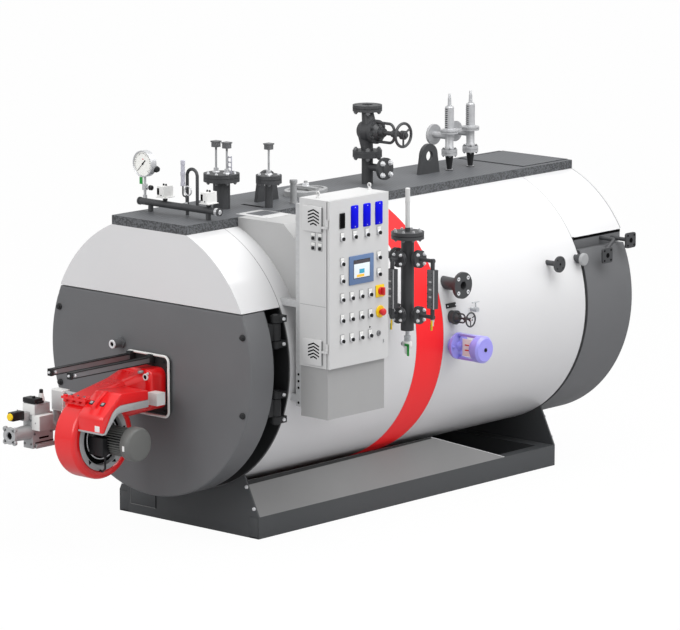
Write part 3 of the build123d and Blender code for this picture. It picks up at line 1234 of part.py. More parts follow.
def gauge_glasses():
    """Reflex gauge glasses on flanged arms, one at the outer side of the column and one in front."""
    glasses = Part()
    centre = Vector(COLUMN_X, y_at(COLUMN_STATION), COLUMN_FOOT)
    for axis, steps in ((Vector(1, 0, 0), GLASS_ARM_STEPS), (Vector(0, -1, 0), GLASS_FRONT_ARM_STEPS)):
        reach = sum(length for _, length in steps)
        seat = centre + axis * (COLUMN_RADIUS + SEAT_GAP)
        for level in COLUMN_LEVELS:
            glasses += turned(seat + Vector(0, 0, level), axis, steps)
        low, high = COLUMN_LEVELS
        elbow = seat + axis * (reach - GLASS_LEG_RADIUS)
        leg = elbow + Vector(0, 0, low - GLASS_LEG_RADIUS)
        glasses += rod(leg, (0, 0, 1), GLASS_LEG_RADIUS, high - low + 2 * GLASS_LEG_RADIUS)
        glasses += Pos(*(elbow + Vector(0, 0, (low + high) / 2))) * Box(*GLASS_BODY)
    return glasses


def sampling_cocks():
    """Drain cock under the level column and the sample valve with its T handle on the shell."""
    cocks = turned((COLUMN_X, y_at(COLUMN_STATION), COLUMN_FOOT - SEAT_GAP), (0, 0, -1), DRAIN_STEPS)
    y, z = y_at(SAMPLE_STATION), SHUTOFF_HEIGHT + SAMPLE_RISE
    radius, rise = SAMPLE_STEM
    grip, span = SAMPLE_HANDLE
    cocks += off_casing(turned((INSIDE_X, y, z), (1, 0, 0), SAMPLE_STEPS))
    cocks += rod((SAMPLE_STEM_X, y, z), (0, 0, 1), radius, rise)
    return cocks + rod((SAMPLE_STEM_X, y - span / 2, z + rise), (0, 1, 0), grip, span)


def square_plate(station, z):
    """Rounded square flange plate facing the cabinet side."""
    plate = Pos(SQUARE_PLATE_X, y_at(station), z) * Box(*SQUARE_PLATE)
    return fillet(plate.edges().filter_by(Axis.X), SQUARE_PLATE_ROUND)


def rear_nozzles():
    """Spare flange and capped stub on the casing, and two plated pipes out of the rear pocket."""
    y, z = y_at(SPARE_STATION), SPARE_HEIGHT
    radius, thickness = SPARE_FLANGE
    neck = rod((0, y, z), (1, 0, 0), SPARE_NECK_RADIUS, SPARE_FACE_X - thickness)
    flange = bored_flange((SPARE_FACE_X, y, z), (1, 0, 0), radius, thickness, SPARE_BORE_RADIUS,
                          SPARE_BOLT_CIRCLE, FLANGE_BOLTS, SPARE_BOLT_RADIUS)
    nozzles = off_casing(neck) + flange
    nozzles += off_casing(turned((INSIDE_X, y_at(CAPPED_STATION), CAPPED_HEIGHT), (1, 0, 0), CAPPED_STEPS))
    station, z = UPPER_PLATE_PLACE
    wall = (POCKET_X, y_at(station), z)
    nozzles += square_plate(station, z) + rod(wall, (1, 0, 0), REAR_PIPE_RADIUS, SQUARE_PLATE_X - POCKET_X)
    station, z = LOWER_PLATE_PLACE
    start_station, start_z = LOWER_PIPE_START
    route = FilletPolyline(
        (POCKET_X, y_at(start_station), start_z), (LOWER_PIPE_X, y_at(start_station), start_z),
        (LOWER_PIPE_X, y_at(station), z), (SQUARE_PLATE_X, y_at(station), z), radius=REAR_PIPE_BEND,
    )
    pipe_face = Plane((POCKET_X, y_at(start_station), start_z), z_dir=(1, 0, 0)) * Circle(REAR_PIPE_RADIUS)
    return nozzles + square_plate(station, z) + sweep(pipe_face, route)


NODES = {
    "base_rails": base_rails,
    "base_cross_members": cross_members,
    "saddle_plates": saddle_plates,
    "base_skirts": base_skirts,
    "pressure_shell": pressure_shell,
    "front_tube_plate": front_tube_plate,
    "rear_tube_plate": lambda: tube_plate(REAR_PLATE_STATION, False),
    "furnace_tube": furnace_tube,
    "smoke_tubes": smoke_tubes,
    "front_collar": front_collar,
    "casing_front": lambda: casing_ring(CASING_START, BAND_START),
    "casing_band": lambda: casing_ring(BAND_START, BAND_START + BAND_WIDTH),
    "casing_rear": lambda: casing_ring(BAND_START + BAND_WIDTH, CASING_END),
    "front_hood": front_hood,
    "rear_smokebox": rear_smokebox,
    "rear_hood": rear_hood,
    "flue_collar": flue_collar,
    "top_platform": top_platform,
    "front_door": front_door,
    "door_lining": door_lining,
    "door_hinge_brackets": door_hinge_brackets,
    "door_hinge_leaves": door_hinge_leaves,
    "sight_glass": sight_glass,
    "burner_flange": burner_flange,
    "burner_casing": burner_casing,
    "burner_motor": burner_motor,
    "burner_cover": burner_cover,
    "burner_servo": burner_servo,
    "burner_slide_bars": burner_slide_bars,
    "gas_train": gas_train,
    "cabinet_body": cabinet_body,
    "cabinet_door": cabinet_door,
    "door_displays": door_displays,
    "door_switches": door_switches,
    "main_switches": main_switches,
    "cabinet_uprights": cabinet_uprights,
    "cabinet_plinth": cabinet_plinth,
    "cable_duct": cable_duct,
    "gauge_header": gauge_header,
    "pressure_gauge": pressure_gauge,
    "pressure_switches": pressure_switches,
    "siphon_pipes": siphon_pipes,
    "electrode_pots": electrode_pots,
    "electrode_heads": electrode_heads,
    "crown_handhole": crown_handhole,
    "vent_stub": vent_stub,
    "lifting_lugs": lifting_lugs,
    "steam_riser": steam_riser,
    "crown_valve": crown_valve,
    "crown_handwheel": crown_handwheel,
    "safety_valves": safety_valves,
    "feed_nozzle": feed_nozzle,
    "shutoff_valve": shutoff_valve,
    "shutoff_handwheel": shutoff_handwheel,
    "blowdown_valve": blowdown_valve,
    "level_column": level_column,
    "gauge_glasses": gauge_glasses,
    "sampling_cocks": sampling_cocks,
    "rear_nozzles": rear_nozzles,
}

os.makedirs("parts", exist_ok=True)
for node, make in NODES.items():
    export_step(make(), f"parts/{node}.step")
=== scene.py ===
"""Looks of a packaged fire-tube steam boiler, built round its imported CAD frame.

Places are given in millimetres: x across, a station rearwards from the burner door's face, z up.
"""

import json
import logging
from collections.abc import Iterable, Sequence
from dataclasses import dataclass
from enum import Enum
from math import atan2, cos, pi, radians, sin, sqrt, tau

import bmesh
import bpy
from mathutils import Matrix, Vector


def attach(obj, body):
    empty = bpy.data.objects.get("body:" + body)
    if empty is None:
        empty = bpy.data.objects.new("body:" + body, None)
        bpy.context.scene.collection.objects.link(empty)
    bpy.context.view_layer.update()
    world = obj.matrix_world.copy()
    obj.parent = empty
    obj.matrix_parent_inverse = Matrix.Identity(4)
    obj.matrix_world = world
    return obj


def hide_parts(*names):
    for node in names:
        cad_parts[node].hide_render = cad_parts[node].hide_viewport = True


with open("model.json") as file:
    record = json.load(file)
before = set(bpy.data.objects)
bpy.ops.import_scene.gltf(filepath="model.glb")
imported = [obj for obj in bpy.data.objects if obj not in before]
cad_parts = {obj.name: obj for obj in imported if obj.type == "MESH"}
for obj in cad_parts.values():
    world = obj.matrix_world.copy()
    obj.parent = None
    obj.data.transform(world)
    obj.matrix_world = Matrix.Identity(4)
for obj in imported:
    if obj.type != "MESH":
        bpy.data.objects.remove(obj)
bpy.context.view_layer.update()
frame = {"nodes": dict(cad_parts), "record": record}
LOG = logging.getLogger("boiler")
MM = 0.001
STATION_ZERO = 1718.0
AXIS_Z = 1076.0
CASING_RADIUS = 840.0
WALK_Z = 1912.7
FURNACE_Z = 926.0
SMOOTH_ANGLE = radians(34)
PURE_WHITE = (1.0, 1.0, 1.0, 1.0)
PURE_BLACK = (0.0, 0.0, 0.0, 1.0)

Limits = tuple[float, float]
Pair = tuple[float, float]
Place = tuple[float, float, float]
Profile = Sequence[Pair]
Tint = tuple[float, float, float, float]
Pot = tuple[float, float, float, float, int]
Socket = bpy.types.NodeSocket
Feed = Socket | float | Sequence[float]
Marks = tuple[Socket, Socket, Socket]


class Body(Enum):
    """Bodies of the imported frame."""

    BOILER = "boiler"
    DOOR = "burner_door"
    PANEL = "panel_door"
    CROWN_WHEEL = "crown_wheel"
    SHUTOFF_WHEEL = "shutoff_wheel"


class Axis(Enum):
    """Directions in the model frame."""

    RIGHT = (1.0, 0.0, 0.0)
    LEFT = (-1.0, 0.0, 0.0)
    BACK = (0.0, 1.0, 0.0)
    FRONT = (0.0, -1.0, 0.0)
    UP = (0.0, 0.0, 1.0)
    DOWN = (0.0, 0.0, -1.0)

    @property
    def vector(self) -> Vector:
        """The direction as a vector."""
        return Vector(self.value)

    @property
    def turn(self) -> Matrix:
        """Rotation that takes +Z to this direction."""
        return Vector((0.0, 0.0, 1.0)).rotation_difference(self.vector).to_matrix().to_4x4()


class Grain(Enum):
    """Kinds of surface break-up, each a shared node group."""

    PAINT = "paint_grain"
    POWDER = "powder_grain"
    CAST = "cast_grain"
    BRUSHED = "brushed_grain"
    SCALE = "mill_scale_grain"
    SPANGLE = "spangle_grain"
    STONE = "refractory_grain"
    PLASTIC = "plastic_grain"


def at(x: float, station: float, z: float) -> Vector:
    """Model point of a place in millimetres and stations."""
    return Vector((x, station - STATION_ZERO, z)) * MM


def spots(places: Iterable[Place]) -> list[Vector]:
    """Model points of several places."""
    return [at(*place) for place in places]


def about(middle: float, half: float) -> Limits:
    """Limits at equal distances from a middle."""
    return middle - half, middle + half


def span(first: float, second: float) -> Limits:
    """Limits in rising order."""
    return min(first, second), max(first, second)


def srgb(red: int, green: int, blue: int) -> tuple[float, float, float]:
    """Linear colour of a display colour given in bytes."""
    return tuple(c / 12.92 if c <= 0.04045 else ((c + 0.055) / 1.055) ** 2.4
                 for c in (red / 255, green / 255, blue / 255))


def shade(colour: Sequence[float], factor: float) -> Tint:
    """Colour made darker or lighter, with full alpha."""
    return (*(min(1.0, c * factor) for c in colour), 1.0)


def link(name: str, data: bpy.types.ID) -> bpy.types.Object:
    """New object of the scene.

    Args:
        name: Object name.
        data: Mesh, lamp or camera.

    Returns:
        The object.
    """
    item = bpy.data.objects.new(name, data)
    bpy.context.scene.collection.objects.link(item)
    return item


# Materials


class NodeKit:
    """Adds nodes and links to one node tree."""

    def __init__(self, tree: bpy.types.NodeTree) -> None:
        """Take over a node tree."""
        self.tree = tree

    def add(self, kind: str, inputs: dict | None = None, **settings) -> bpy.types.Node:
        """Add one node.

        Args:
            kind: Node type.
            inputs: Socket name or index to a value or to an output socket.
            settings: Node properties.

        Returns:
            The new node.
        """
        node = self.tree.nodes.new(kind)
        for name, value in settings.items():
            setattr(node, name, value)
        for name, value in (inputs or {}).items():
            if isinstance(value, Socket):
                self.tree.links.new(value, node.inputs[name])
            else:
                node.inputs[name].default_value = value
        return node

    def math(self, operation: str, *values: Feed) -> Socket:
        """Result of a math node."""
        return self.add("ShaderNodeMath", dict(enumerate(values)), operation=operation).outputs[0]

    def mix(self, factor: Feed, first: Feed, second: Feed) -> Socket:
        """Colour between two others."""
        return self.add("ShaderNodeMix", {0: factor, 6: first, 7: second}, data_type="RGBA").outputs[2]

    def spread(self, value: Feed, low: float, high: float, to_low: float, to_high: float) -> Socket:
        """Value mapped from one range to another and held inside it."""
        inputs = {"Value": value, "From Min": low, "From Max": high, "To Min": to_low, "To Max": to_high}
        return self.add("ShaderNodeMapRange", inputs).outputs["Result"]

    def place(self) -> Socket:
        """Object coordinates."""
        return self.add("ShaderNodeTexCoord").outputs["Object"]

    def along(self, axis: str) -> Socket:
        """One of the object coordinates."""
        return self.add("ShaderNodeSeparateXYZ", {0: self.place()}).outputs[axis]

    def rise(self) -> Socket:
        """How far the face looks up."""
        normal = self.add("ShaderNodeNewGeometry").outputs["Normal"]
        return self.add("ShaderNodeSeparateXYZ", {0: normal}).outputs["Z"]

    def noise(self, scale: float, detail: float = 2.0, stretch: Place = (1.0, 1.0, 1.0)) -> Socket:
        """Noise in object space, stretched along the axes.

        Args:
            scale: Cells per metre.
            detail: Octaves.
            stretch: Stretch along the axes.

        Returns:
            The noise.
        """
        spot = self.add("ShaderNodeMapping", {"Vector": self.place(), "Scale": stretch}).outputs[0]
        inputs = {"Vector": spot, "Scale": scale, "Detail": detail, "Roughness": 0.55}
        return self.add("ShaderNodeTexNoise", inputs).outputs[0]


def fresh_kit(block: bpy.types.Material | bpy.types.World) -> NodeKit:
    """Kit on the emptied node tree of a material or world.

    Args:
        block: Material or world.
    """
    block.use_nodes = True
    block.node_tree.nodes.clear()
    return NodeKit(block.node_tree)


@dataclass(frozen=True)
class GrainRecipe:
    """Noise sizes behind one kind of surface break-up.

    Attributes:
        tone_scale: Cells per metre of the broad tone.
        tone_detail: Octaves of the tone.
        height_scale: Cells per metre of the fine relief.
        stretch: Stretch of both along the axes.
        cells: Whether the tone comes from flat cells in place of noise.
    """

    tone_scale: float
    tone_detail: float
    height_scale: float
    stretch: Place = (1.0, 1.0, 1.0)
    cells: bool = False

    def group(self, name: str) -> bpy.types.NodeTree:
        """Node group with outputs Tone, Fine and Height.

        Args:
            name: Name of the group.

        Returns:
            The group, made once.
        """
        if name in bpy.data.node_groups:
            return bpy.data.node_groups[name]
        tree = bpy.data.node_groups.new(name, "ShaderNodeTree")
        for output in ("Tone", "Fine", "Height"):
            tree.interface.new_socket(output, in_out="OUTPUT", socket_type="NodeSocketFloat")
        kit = NodeKit(tree)
        result = kit.add("NodeGroupOutput")
        broad = kit.noise(self.tone_scale, self.tone_detail, self.stretch)
        if self.cells:
            voronoi = kit.add("ShaderNodeTexVoronoi", {"Vector": kit.place(), "Scale": self.tone_scale})
            broad = kit.add("ShaderNodeSeparateColor", {0: voronoi.outputs["Color"]}).outputs[0]
        fine = kit.noise(self.height_scale, 3.0, self.stretch)
        tree.links.new(kit.spread(broad, 0.25, 0.75, 0.0, 1.0), result.inputs["Tone"])
        tree.links.new(kit.spread(fine, 0.3, 0.7, 0.0, 1.0), result.inputs["Fine"])
        tree.links.new(fine, result.inputs["Height"])
        return tree


RECIPES = {
    Grain.PAINT: GrainRecipe(1.6, 4.0, 330.0),
    Grain.POWDER: GrainRecipe(5.0, 4.0, 900.0),
    Grain.CAST: GrainRecipe(22.0, 5.0, 260.0),
    Grain.BRUSHED: GrainRecipe(14.0, 4.0, 90.0, (1.0, 1.0, 14.0)),
    Grain.SCALE: GrainRecipe(7.0, 6.0, 180.0),
    Grain.SPANGLE: GrainRecipe(70.0, 2.0, 400.0, cells=True),
    Grain.STONE: GrainRecipe(18.0, 6.0, 140.0),
    Grain.PLASTIC: GrainRecipe(9.0, 3.0, 1200.0),
}


@dataclass(frozen=True)
class Finish:
    """One surface finish: a colour broken up by a grain.

    Attributes:
        name: Material name.
        colour: Linear base colour.
        grain: Kind of break-up.
        roughness: Middle roughness.
        metallic: Metal share.
        coat: Clear coat weight.
        contrast: How far the grain moves the colour.
        depth: Relief of the grain in millimetres.
        glow: Emission strength.
        specular: Strength of the surface reflection.
    """

    name: str
    colour: tuple[float, float, float]
    grain: Grain
    roughness: float
    metallic: float = 0.0
    coat: float = 0.0
    contrast: float = 0.06
    depth: float = 0.05
    glow: float = 0.0
    specular: float = 0.5

    def material(self) -> bpy.types.Material:
        """The finish as a material, made once.

        Returns:
            The material.
        """
        if self.name in bpy.data.materials and bpy.data.materials[self.name].get("finish"):
            return bpy.data.materials[self.name]
        material = bpy.data.materials.new(self.name)
        material["finish"] = True
        material.diffuse_color = (*self.colour, 1.0)
        kit = fresh_kit(material)
        group = kit.add("ShaderNodeGroup", node_tree=RECIPES[self.grain].group(self.grain.value))
        tone, fine, height = (group.outputs[name] for name in ("Tone", "Fine", "Height"))
        blend = kit.math("MULTIPLY_ADD", fine, 0.35, kit.math("MULTIPLY", tone, 0.65))
        colour = kit.mix(blend, shade(self.colour, 1.0 - self.contrast), shade(self.colour, 1.0 + self.contrast))
        rough = kit.spread(tone, 0.0, 1.0, self.roughness * 0.88, min(1.0, self.roughness * 1.12))
        colour, rough, height = self.marked(kit, colour, rough, height)
        bump = kit.add("ShaderNodeBump", {"Height": height, "Strength": 0.6, "Distance": self.depth * MM})
        inputs = {"Base Color": colour, "Roughness": rough, "Normal": bump.outputs[0],
                  "Metallic": self.metallic,
                  "Coat Weight": self.coat, "Coat Roughness": 0.06, "Specular IOR Level": self.specular}
        if self.glow:
            inputs |= {"Emission Color": colour, "Emission Strength": self.glow}
        shader = kit.add("ShaderNodeBsdfPrincipled", inputs)
        output = kit.add("ShaderNodeOutputMaterial", {"Surface": shader.outputs[0]})
        output.is_active_output = True
        return material

    def marked(self, kit: NodeKit, colour: Socket, rough: Socket, height: Socket) -> Marks:
        """Colour, roughness and height after marks that only this kind of finish has."""
        return colour, rough, height


@dataclass(frozen=True)
class SeamedFinish(Finish):
    """Sheet cladding with dark seam lines across it at given stations."""

    stations: tuple[float, ...] = ()
    half_width: float = 2.2

    def marked(self, kit: NodeKit, colour: Socket, rough: Socket, height: Socket) -> Marks:
        """Darken and sink the seams.

        Args:
            kit: Node kit.
            colour: Colour so far.
            rough: Roughness so far.
            height: Relief so far.

        Returns:
            The three with the marks.
        """
        across = kit.along("Y")
        mask = None
        for station in self.stations:
            gap = kit.math("ABSOLUTE", kit.math("SUBTRACT", across, (station - STATION_ZERO) * MM))
            line = kit.math("LESS_THAN", gap, self.half_width * MM)
            mask = line if mask is None else kit.math("MAXIMUM", mask, line)
        return kit.mix(mask, colour, shade(self.colour, 0.22)), rough, kit.math("SUBTRACT", height, mask)


@dataclass(frozen=True)
class TreadFinish(Finish):
    """Walkway sheet: raised studs on top and a speckled, punched edge along the folded sides, its holes painted as
    dark specks of shade.
    """

    pitch: float = 26.0
    stud: float = 0.3
    speck_scale: float = 105.0

    def marked(self, kit: NodeKit, colour: Socket, rough: Socket, height: Socket) -> Marks:
        """Studs where the face looks up, specks where it stands.

        Args:
            kit: Node kit.
            colour: Colour so far.
            rough: Roughness so far.
            height: Relief so far.

        Returns:
            The three with the marks.
        """
        top = kit.math("GREATER_THAN", kit.math("ABSOLUTE", kit.rise()), 0.5)
        side = kit.math("SUBTRACT", 1.0, top)
        cells = [kit.math("MULTIPLY", kit.along(name), 1.0 / (self.pitch * MM)) for name in ("X", "Y")]
        speck = kit.noise(self.speck_scale, 1.0)
        studs = kit.math("MULTIPLY", self.dots(kit, *cells, self.stud), top)
        # Dark specks on the sides: painted shade of the punched holes.
        holes = kit.math("MULTIPLY", kit.math("LESS_THAN", speck, 0.47), side)
        bright = kit.math("MULTIPLY", kit.math("GREATER_THAN", speck, 0.56), side)
        colour = kit.mix(studs, colour, shade(self.colour, 1.45))
        colour = kit.mix(holes, colour, shade(self.colour, 0.5))
        colour = kit.mix(bright, colour, shade(self.colour, 1.3))
        relief = kit.math("SUBTRACT", kit.math("MULTIPLY", studs, 12.0), kit.math("MULTIPLY", holes, 12.0))
        return colour, rough, kit.math("ADD", height, relief)

    @staticmethod
    def dots(kit: NodeKit, across: Socket, along: Socket, radius: float) -> Socket:
        """Mask of round dots on a staggered unit grid.

        Args:
            kit: Node kit.
            across: Cell coordinate across.
            along: Cell coordinate along.
            radius: Radius of a dot in cells.

        Returns:
            The mask.
        """
        shifted = kit.math("ADD", across, kit.math("MULTIPLY", kit.math("FLOOR", along), 0.5))
        away = [kit.math("SUBTRACT", kit.math("FRACT", value), 0.5) for value in (shifted, along)]
        squares = [kit.math("POWER", value, 2.0) for value in away]
        distance = kit.math("SQRT", kit.math("ADD", *squares))
        return kit.math("LESS_THAN", distance, radius)


@dataclass(frozen=True)
class TopDarkFinish(Finish):
    """Bar whose upward faces are blackened."""

    def marked(self, kit: NodeKit, colour: Socket, rough: Socket, height: Socket) -> Marks:
        """Blacken what looks up."""
        return kit.mix(kit.math("GREATER_THAN", kit.rise(), 0.5), colour, shade(self.colour, 0.12)), rough, height


@dataclass(frozen=True)
class SplitFinish(Finish):
    """Fitting whose upper part, from a level upwards, is in a darker shade."""

    level: float = 0.0
    above: float = 0.3

    def marked(self, kit: NodeKit, colour: Socket, rough: Socket, height: Socket) -> Marks:
        """Darken what lies above the level."""
        mask = kit.math("GREATER_THAN", kit.along("Z"), self.level * MM)
        return kit.mix(mask, colour, shade(self.colour, self.above)), rough, height


CASING_PAINT = {"colour": srgb(212, 212, 213), "grain": Grain.PAINT, "roughness": 0.34, "coat": 0.4, "contrast": 0.02}
WHITE = Finish("white_paint_gloss", **CASING_PAINT)
CASING_WHITE = SeamedFinish("white_casing_gloss", **CASING_PAINT, stations=(328.0, 1465.0))
REAR_WHITE = SeamedFinish("white_casing_rear", **CASING_PAINT, stations=(1716.0, 3102.0))
# Painted light: the red band glows by itself (glow 0.2), so its lower side stays bright where the lamps leave it in
# shade.
BAND_RED = Finish("red_band_gloss", srgb(226, 36, 40), Grain.PAINT, 0.42, contrast=0.04, glow=0.2, specular=0.2)
DOOR_GREY = Finish("door_grey_satin", srgb(99, 100, 102), Grain.POWDER, 0.5, contrast=0.05)
BASE_GREY = Finish("base_grey_satin", srgb(72, 74, 76), Grain.POWDER, 0.5, contrast=0.06)
# Painted light: the base grey made lighter, for the lit up-facing skirt sheets and the highlights on the hatch's
# edges.
BASE_GREY_PAINTED_LIGHT = Finish("base_grey_painted_light", srgb(131, 131, 131), Grain.POWDER, 0.5, contrast=0.05)
BLACK_STEEL = Finish("black_steel_satin", srgb(36, 37, 38), Grain.POWDER, 0.48, contrast=0.1, specular=0.3)
BOILER_PLATE = Finish("mill_scale_plate", srgb(74, 68, 64), Grain.SCALE, 0.62, metallic=0.55, contrast=0.35,
                      depth=0.2)
REFRACTORY = Finish("refractory_face", srgb(203, 190, 165), Grain.STONE, 0.95, contrast=0.14, depth=1.2)
WALKWAY = TreadFinish("walkway_tread", srgb(82, 84, 87), Grain.POWDER, 0.55, contrast=0.22, depth=0.12)
BURNER_RED = Finish("burner_red_gloss", srgb(226, 18, 22), Grain.PAINT, 0.28, coat=0.45, contrast=0.05)
MOTOR_GREY = Finish("motor_grey_paint", srgb(100, 101, 99), Grain.CAST, 0.5, contrast=0.07)
CAST_ALLOY = Finish("cast_alloy_bare", srgb(168, 169, 170), Grain.CAST, 0.5, metallic=0.12, contrast=0.1, depth=0.12)
PALE_PLASTIC = Finish("pale_plastic", srgb(226, 226, 224), Grain.PLASTIC, 0.42, contrast=0.03, depth=0.02)
CABINET = Finish("cabinet_powder_white", srgb(198, 198, 198), Grain.POWDER, 0.42, coat=0.12, contrast=0.025)
# Painted shade: the cabinet's white powder paint darkened for the plinth that hangs under the cabinet.
PLINTH_PAINTED_SHADE = Finish("plinth_white_painted_shade", srgb(158, 158, 158), Grain.POWDER, 0.46, contrast=0.03)
DUCT = Finish("duct_powder_grey", srgb(172, 172, 172), Grain.POWDER, 0.46, contrast=0.03)
UPRIGHT = Finish("upright_zinc", srgb(182, 183, 184), Grain.SPANGLE, 0.42, metallic=0.1, contrast=0.05)
GALVANISED = Finish("galvanised_zinc", srgb(186, 189, 192), Grain.SPANGLE, 0.4, metallic=0.35, contrast=0.16)
BLACK_IRON = Finish("black_iron_cast", srgb(62, 63, 65), Grain.CAST, 0.5, metallic=0.1, contrast=0.16, depth=0.14)
FITTING_GREY = Finish("fitting_grey_paint", srgb(152, 153, 154), Grain.CAST, 0.46, contrast=0.07)
STAINLESS = Finish("stainless_brushed", srgb(196, 197, 199), Grain.BRUSHED, 0.3, metallic=0.4, contrast=0.08)
VIOLET = Finish("violet_paint_gloss", srgb(154, 149, 233), Grain.PAINT, 0.34, coat=0.35, contrast=0.05)
BLACK_PLASTIC = Finish("black_plastic", srgb(24, 24, 26), Grain.PLASTIC, 0.42, contrast=0.1, depth=0.02, specular=0.3)
YELLOW_PLASTIC = Finish("yellow_plastic", srgb(238, 200, 16), Grain.PLASTIC, 0.36, contrast=0.04, depth=0.02)
RED_PLASTIC = Finish("red_plastic", srgb(206, 34, 40), Grain.PLASTIC, 0.34, contrast=0.05, depth=0.02)
GREEN_PLASTIC = Finish("green_plastic", srgb(30, 152, 58), Grain.PLASTIC, 0.4, contrast=0.05, depth=0.02)
SATIN = Finish("valve_steel_satin", srgb(186, 187, 189), Grain.BRUSHED, 0.3, metallic=0.35, contrast=0.1)
TAG_GREY = Finish("tag_grey", srgb(178, 178, 188), Grain.PLASTIC, 0.42, contrast=0.05, depth=0.02)
ZINC = Finish("bright_zinc", srgb(228, 229, 231), Grain.BRUSHED, 0.28, metallic=0.3, contrast=0.06)
BOLT_STEEL = Finish("bolt_steel", srgb(124, 125, 127), Grain.BRUSHED, 0.36, metallic=0.4, contrast=0.06)
HEAD_GREY = SplitFinish("electrode_steel", srgb(166, 167, 169), Grain.BRUSHED, 0.32, metallic=0.2, contrast=0.05,
                        level=2266.0, above=0.34)
BAR_STEEL = TopDarkFinish("slide_bar_steel", srgb(132, 134, 136), Grain.BRUSHED, 0.42, metallic=0.5, contrast=0.08)
DISPLAY_BLUE = Finish("display_blue_lens", srgb(0, 0, 206), Grain.PLASTIC, 0.5, contrast=0.04, specular=0.12)
BEZEL_BLUE = Finish("panel_bezel_blue_grey", srgb(92, 118, 158), Grain.PLASTIC, 0.4, contrast=0.04, depth=0.02)
SCREEN = Finish("panel_screen_lit", srgb(206, 214, 218), Grain.PLASTIC, 0.16, coat=0.4, contrast=0.04, glow=0.35)
SCREEN_ORANGE = Finish("panel_screen_key", srgb(238, 178, 62), Grain.PLASTIC, 0.2, contrast=0.04, glow=0.3)
SCREEN_TEAL = Finish("panel_screen_value", srgb(56, 148, 176), Grain.PLASTIC, 0.2, contrast=0.04, glow=0.3)
SCREEN_DARK = Finish("panel_screen_bar", srgb(70, 66, 72), Grain.PLASTIC, 0.2, contrast=0.04, glow=0.1)
DIAL_WHITE = Finish("dial_enamel", srgb(244, 244, 240), Grain.PAINT, 0.3, coat=0.4, contrast=0.02)
# Near-black finish: painted shade laid as discs, plates and strips in holes, slots, bores and gaps, and the own black
# of the display, pilot lamp and sight glasses.
SHADE_AND_BLACK_GLASS = Finish("recess_shade_and_black_glass", srgb(10, 10, 11), Grain.POWDER, 0.8, contrast=0.2, specular=0.05)

SLOT_FINISHES = {
    "white_paint": WHITE, "red_band": BAND_RED, "door_grey": DOOR_GREY, "base_grey": BASE_GREY,
    "black_steel": BLACK_STEEL, "boiler_plate": BOILER_PLATE, "refractory": REFRACTORY, "walkway": WALKWAY,
    "burner_red": BURNER_RED, "motor_grey": MOTOR_GREY, "cast_alloy": CAST_ALLOY,
    "pale_plastic": PALE_PLASTIC,
    "cabinet_paint": CABINET, "galvanised": GALVANISED, "black_iron": BLACK_IRON,
    "fitting_grey": FITTING_GREY,
    "stainless": STAINLESS, "violet_paint": VIOLET, "black_plastic": BLACK_PLASTIC,
    "yellow_plastic": YELLOW_PLASTIC,
}
NODE_FINISHES = {"casing_front": CASING_WHITE, "casing_rear": REAR_WHITE, "burner_slide_bars": BAR_STEEL,
                 "sight_glass": DOOR_GREY, "electrode_heads": HEAD_GREY, "safety_valves": SATIN,
                 "cabinet_plinth": PLINTH_PAINTED_SHADE, "cable_duct": DUCT, "cabinet_uprights": UPRIGHT}


# Mesh pieces


def rounded(points: Sequence[Place], bend: float, closed: bool = False, steps: int = 6) -> list[Vector]:
    """Route of a bent bar.

    Args:
        points: Corners in millimetres and stations.
        bend: Bend radius in millimetres.
        closed: Whether the route is a loop.
        steps: Chords in each bend.

    Returns:
        Points of the route in metres.
    """
    corners = [at(*point) for point in points]
    route = []
    for i, corner in enumerate(corners):
        if not closed and i in (0, len(corners) - 1):
            route.append(corner)
            continue
        before = (corners[i - 1] - corner).normalized()
        after = (corners[(i + 1) % len(corners)] - corner).normalized()
        half = before.angle(after) / 2
        centre = corner + (before + after).normalized() * (bend * MM / sin(half))
        start = corner + before * (bend * MM / sqrt(1 / cos(half) ** 2 - 1))
        spoke = start - centre
        turn = before.cross(after)
        for k in range(steps + 1):
            route.append(centre + Matrix.Rotation(-(pi - 2 * half) * k / steps, 3, turn) @ spoke)
    return route


def circle(centre: Place, axis: Axis, diameter: float, count: int, start: float | None = None) -> list[Place]:
    """Places spread evenly on a circle about an axis.

    Args:
        centre: Middle of the circle.
        axis: Direction.
        diameter: Diameter.
        count: Number of places.
        start: First angle; half a step where none is given.

    Returns:
        The places.
    """
    first = pi / count if start is None else start
    angles = [first + tau * i / count for i in range(count)]
    arms = [axis.turn @ Vector((cos(angle), sin(angle), 0.0)) * (diameter / 2) for angle in angles]
    return [tuple(Vector(centre) + arm) for arm in arms]


def round_edges(part: bmesh.types.BMesh, edges: list[bmesh.types.BMEdge], offset: float) -> None:
    """Round edges by an offset in millimetres."""
    bmesh.ops.bevel(part, geom=edges, offset=offset * MM, segments=2, profile=0.5, affect="EDGES", material=-1)


def round_rims(part: bmesh.types.BMesh, axis: Axis, offset: float) -> None:
    """Round the rims of the faces that look along an axis.

    Args:
        part: Mesh to work on.
        axis: Direction.
        offset: Rounding.
    """
    part.normal_update()
    caps = [face for face in part.faces if abs(face.normal.dot(axis.vector)) > 0.99]
    round_edges(part, list({edge for face in caps for edge in face.edges}), offset)


def close_loop(part: bmesh.types.BMesh, points: Iterable[Vector]) -> tuple[list, list]:
    """Vertices and edges of a closed loop through model points."""
    corners = [part.verts.new(point) for point in points]
    return corners, [part.edges.new(pair) for pair in zip(corners, [*corners[1:], corners[0]])]


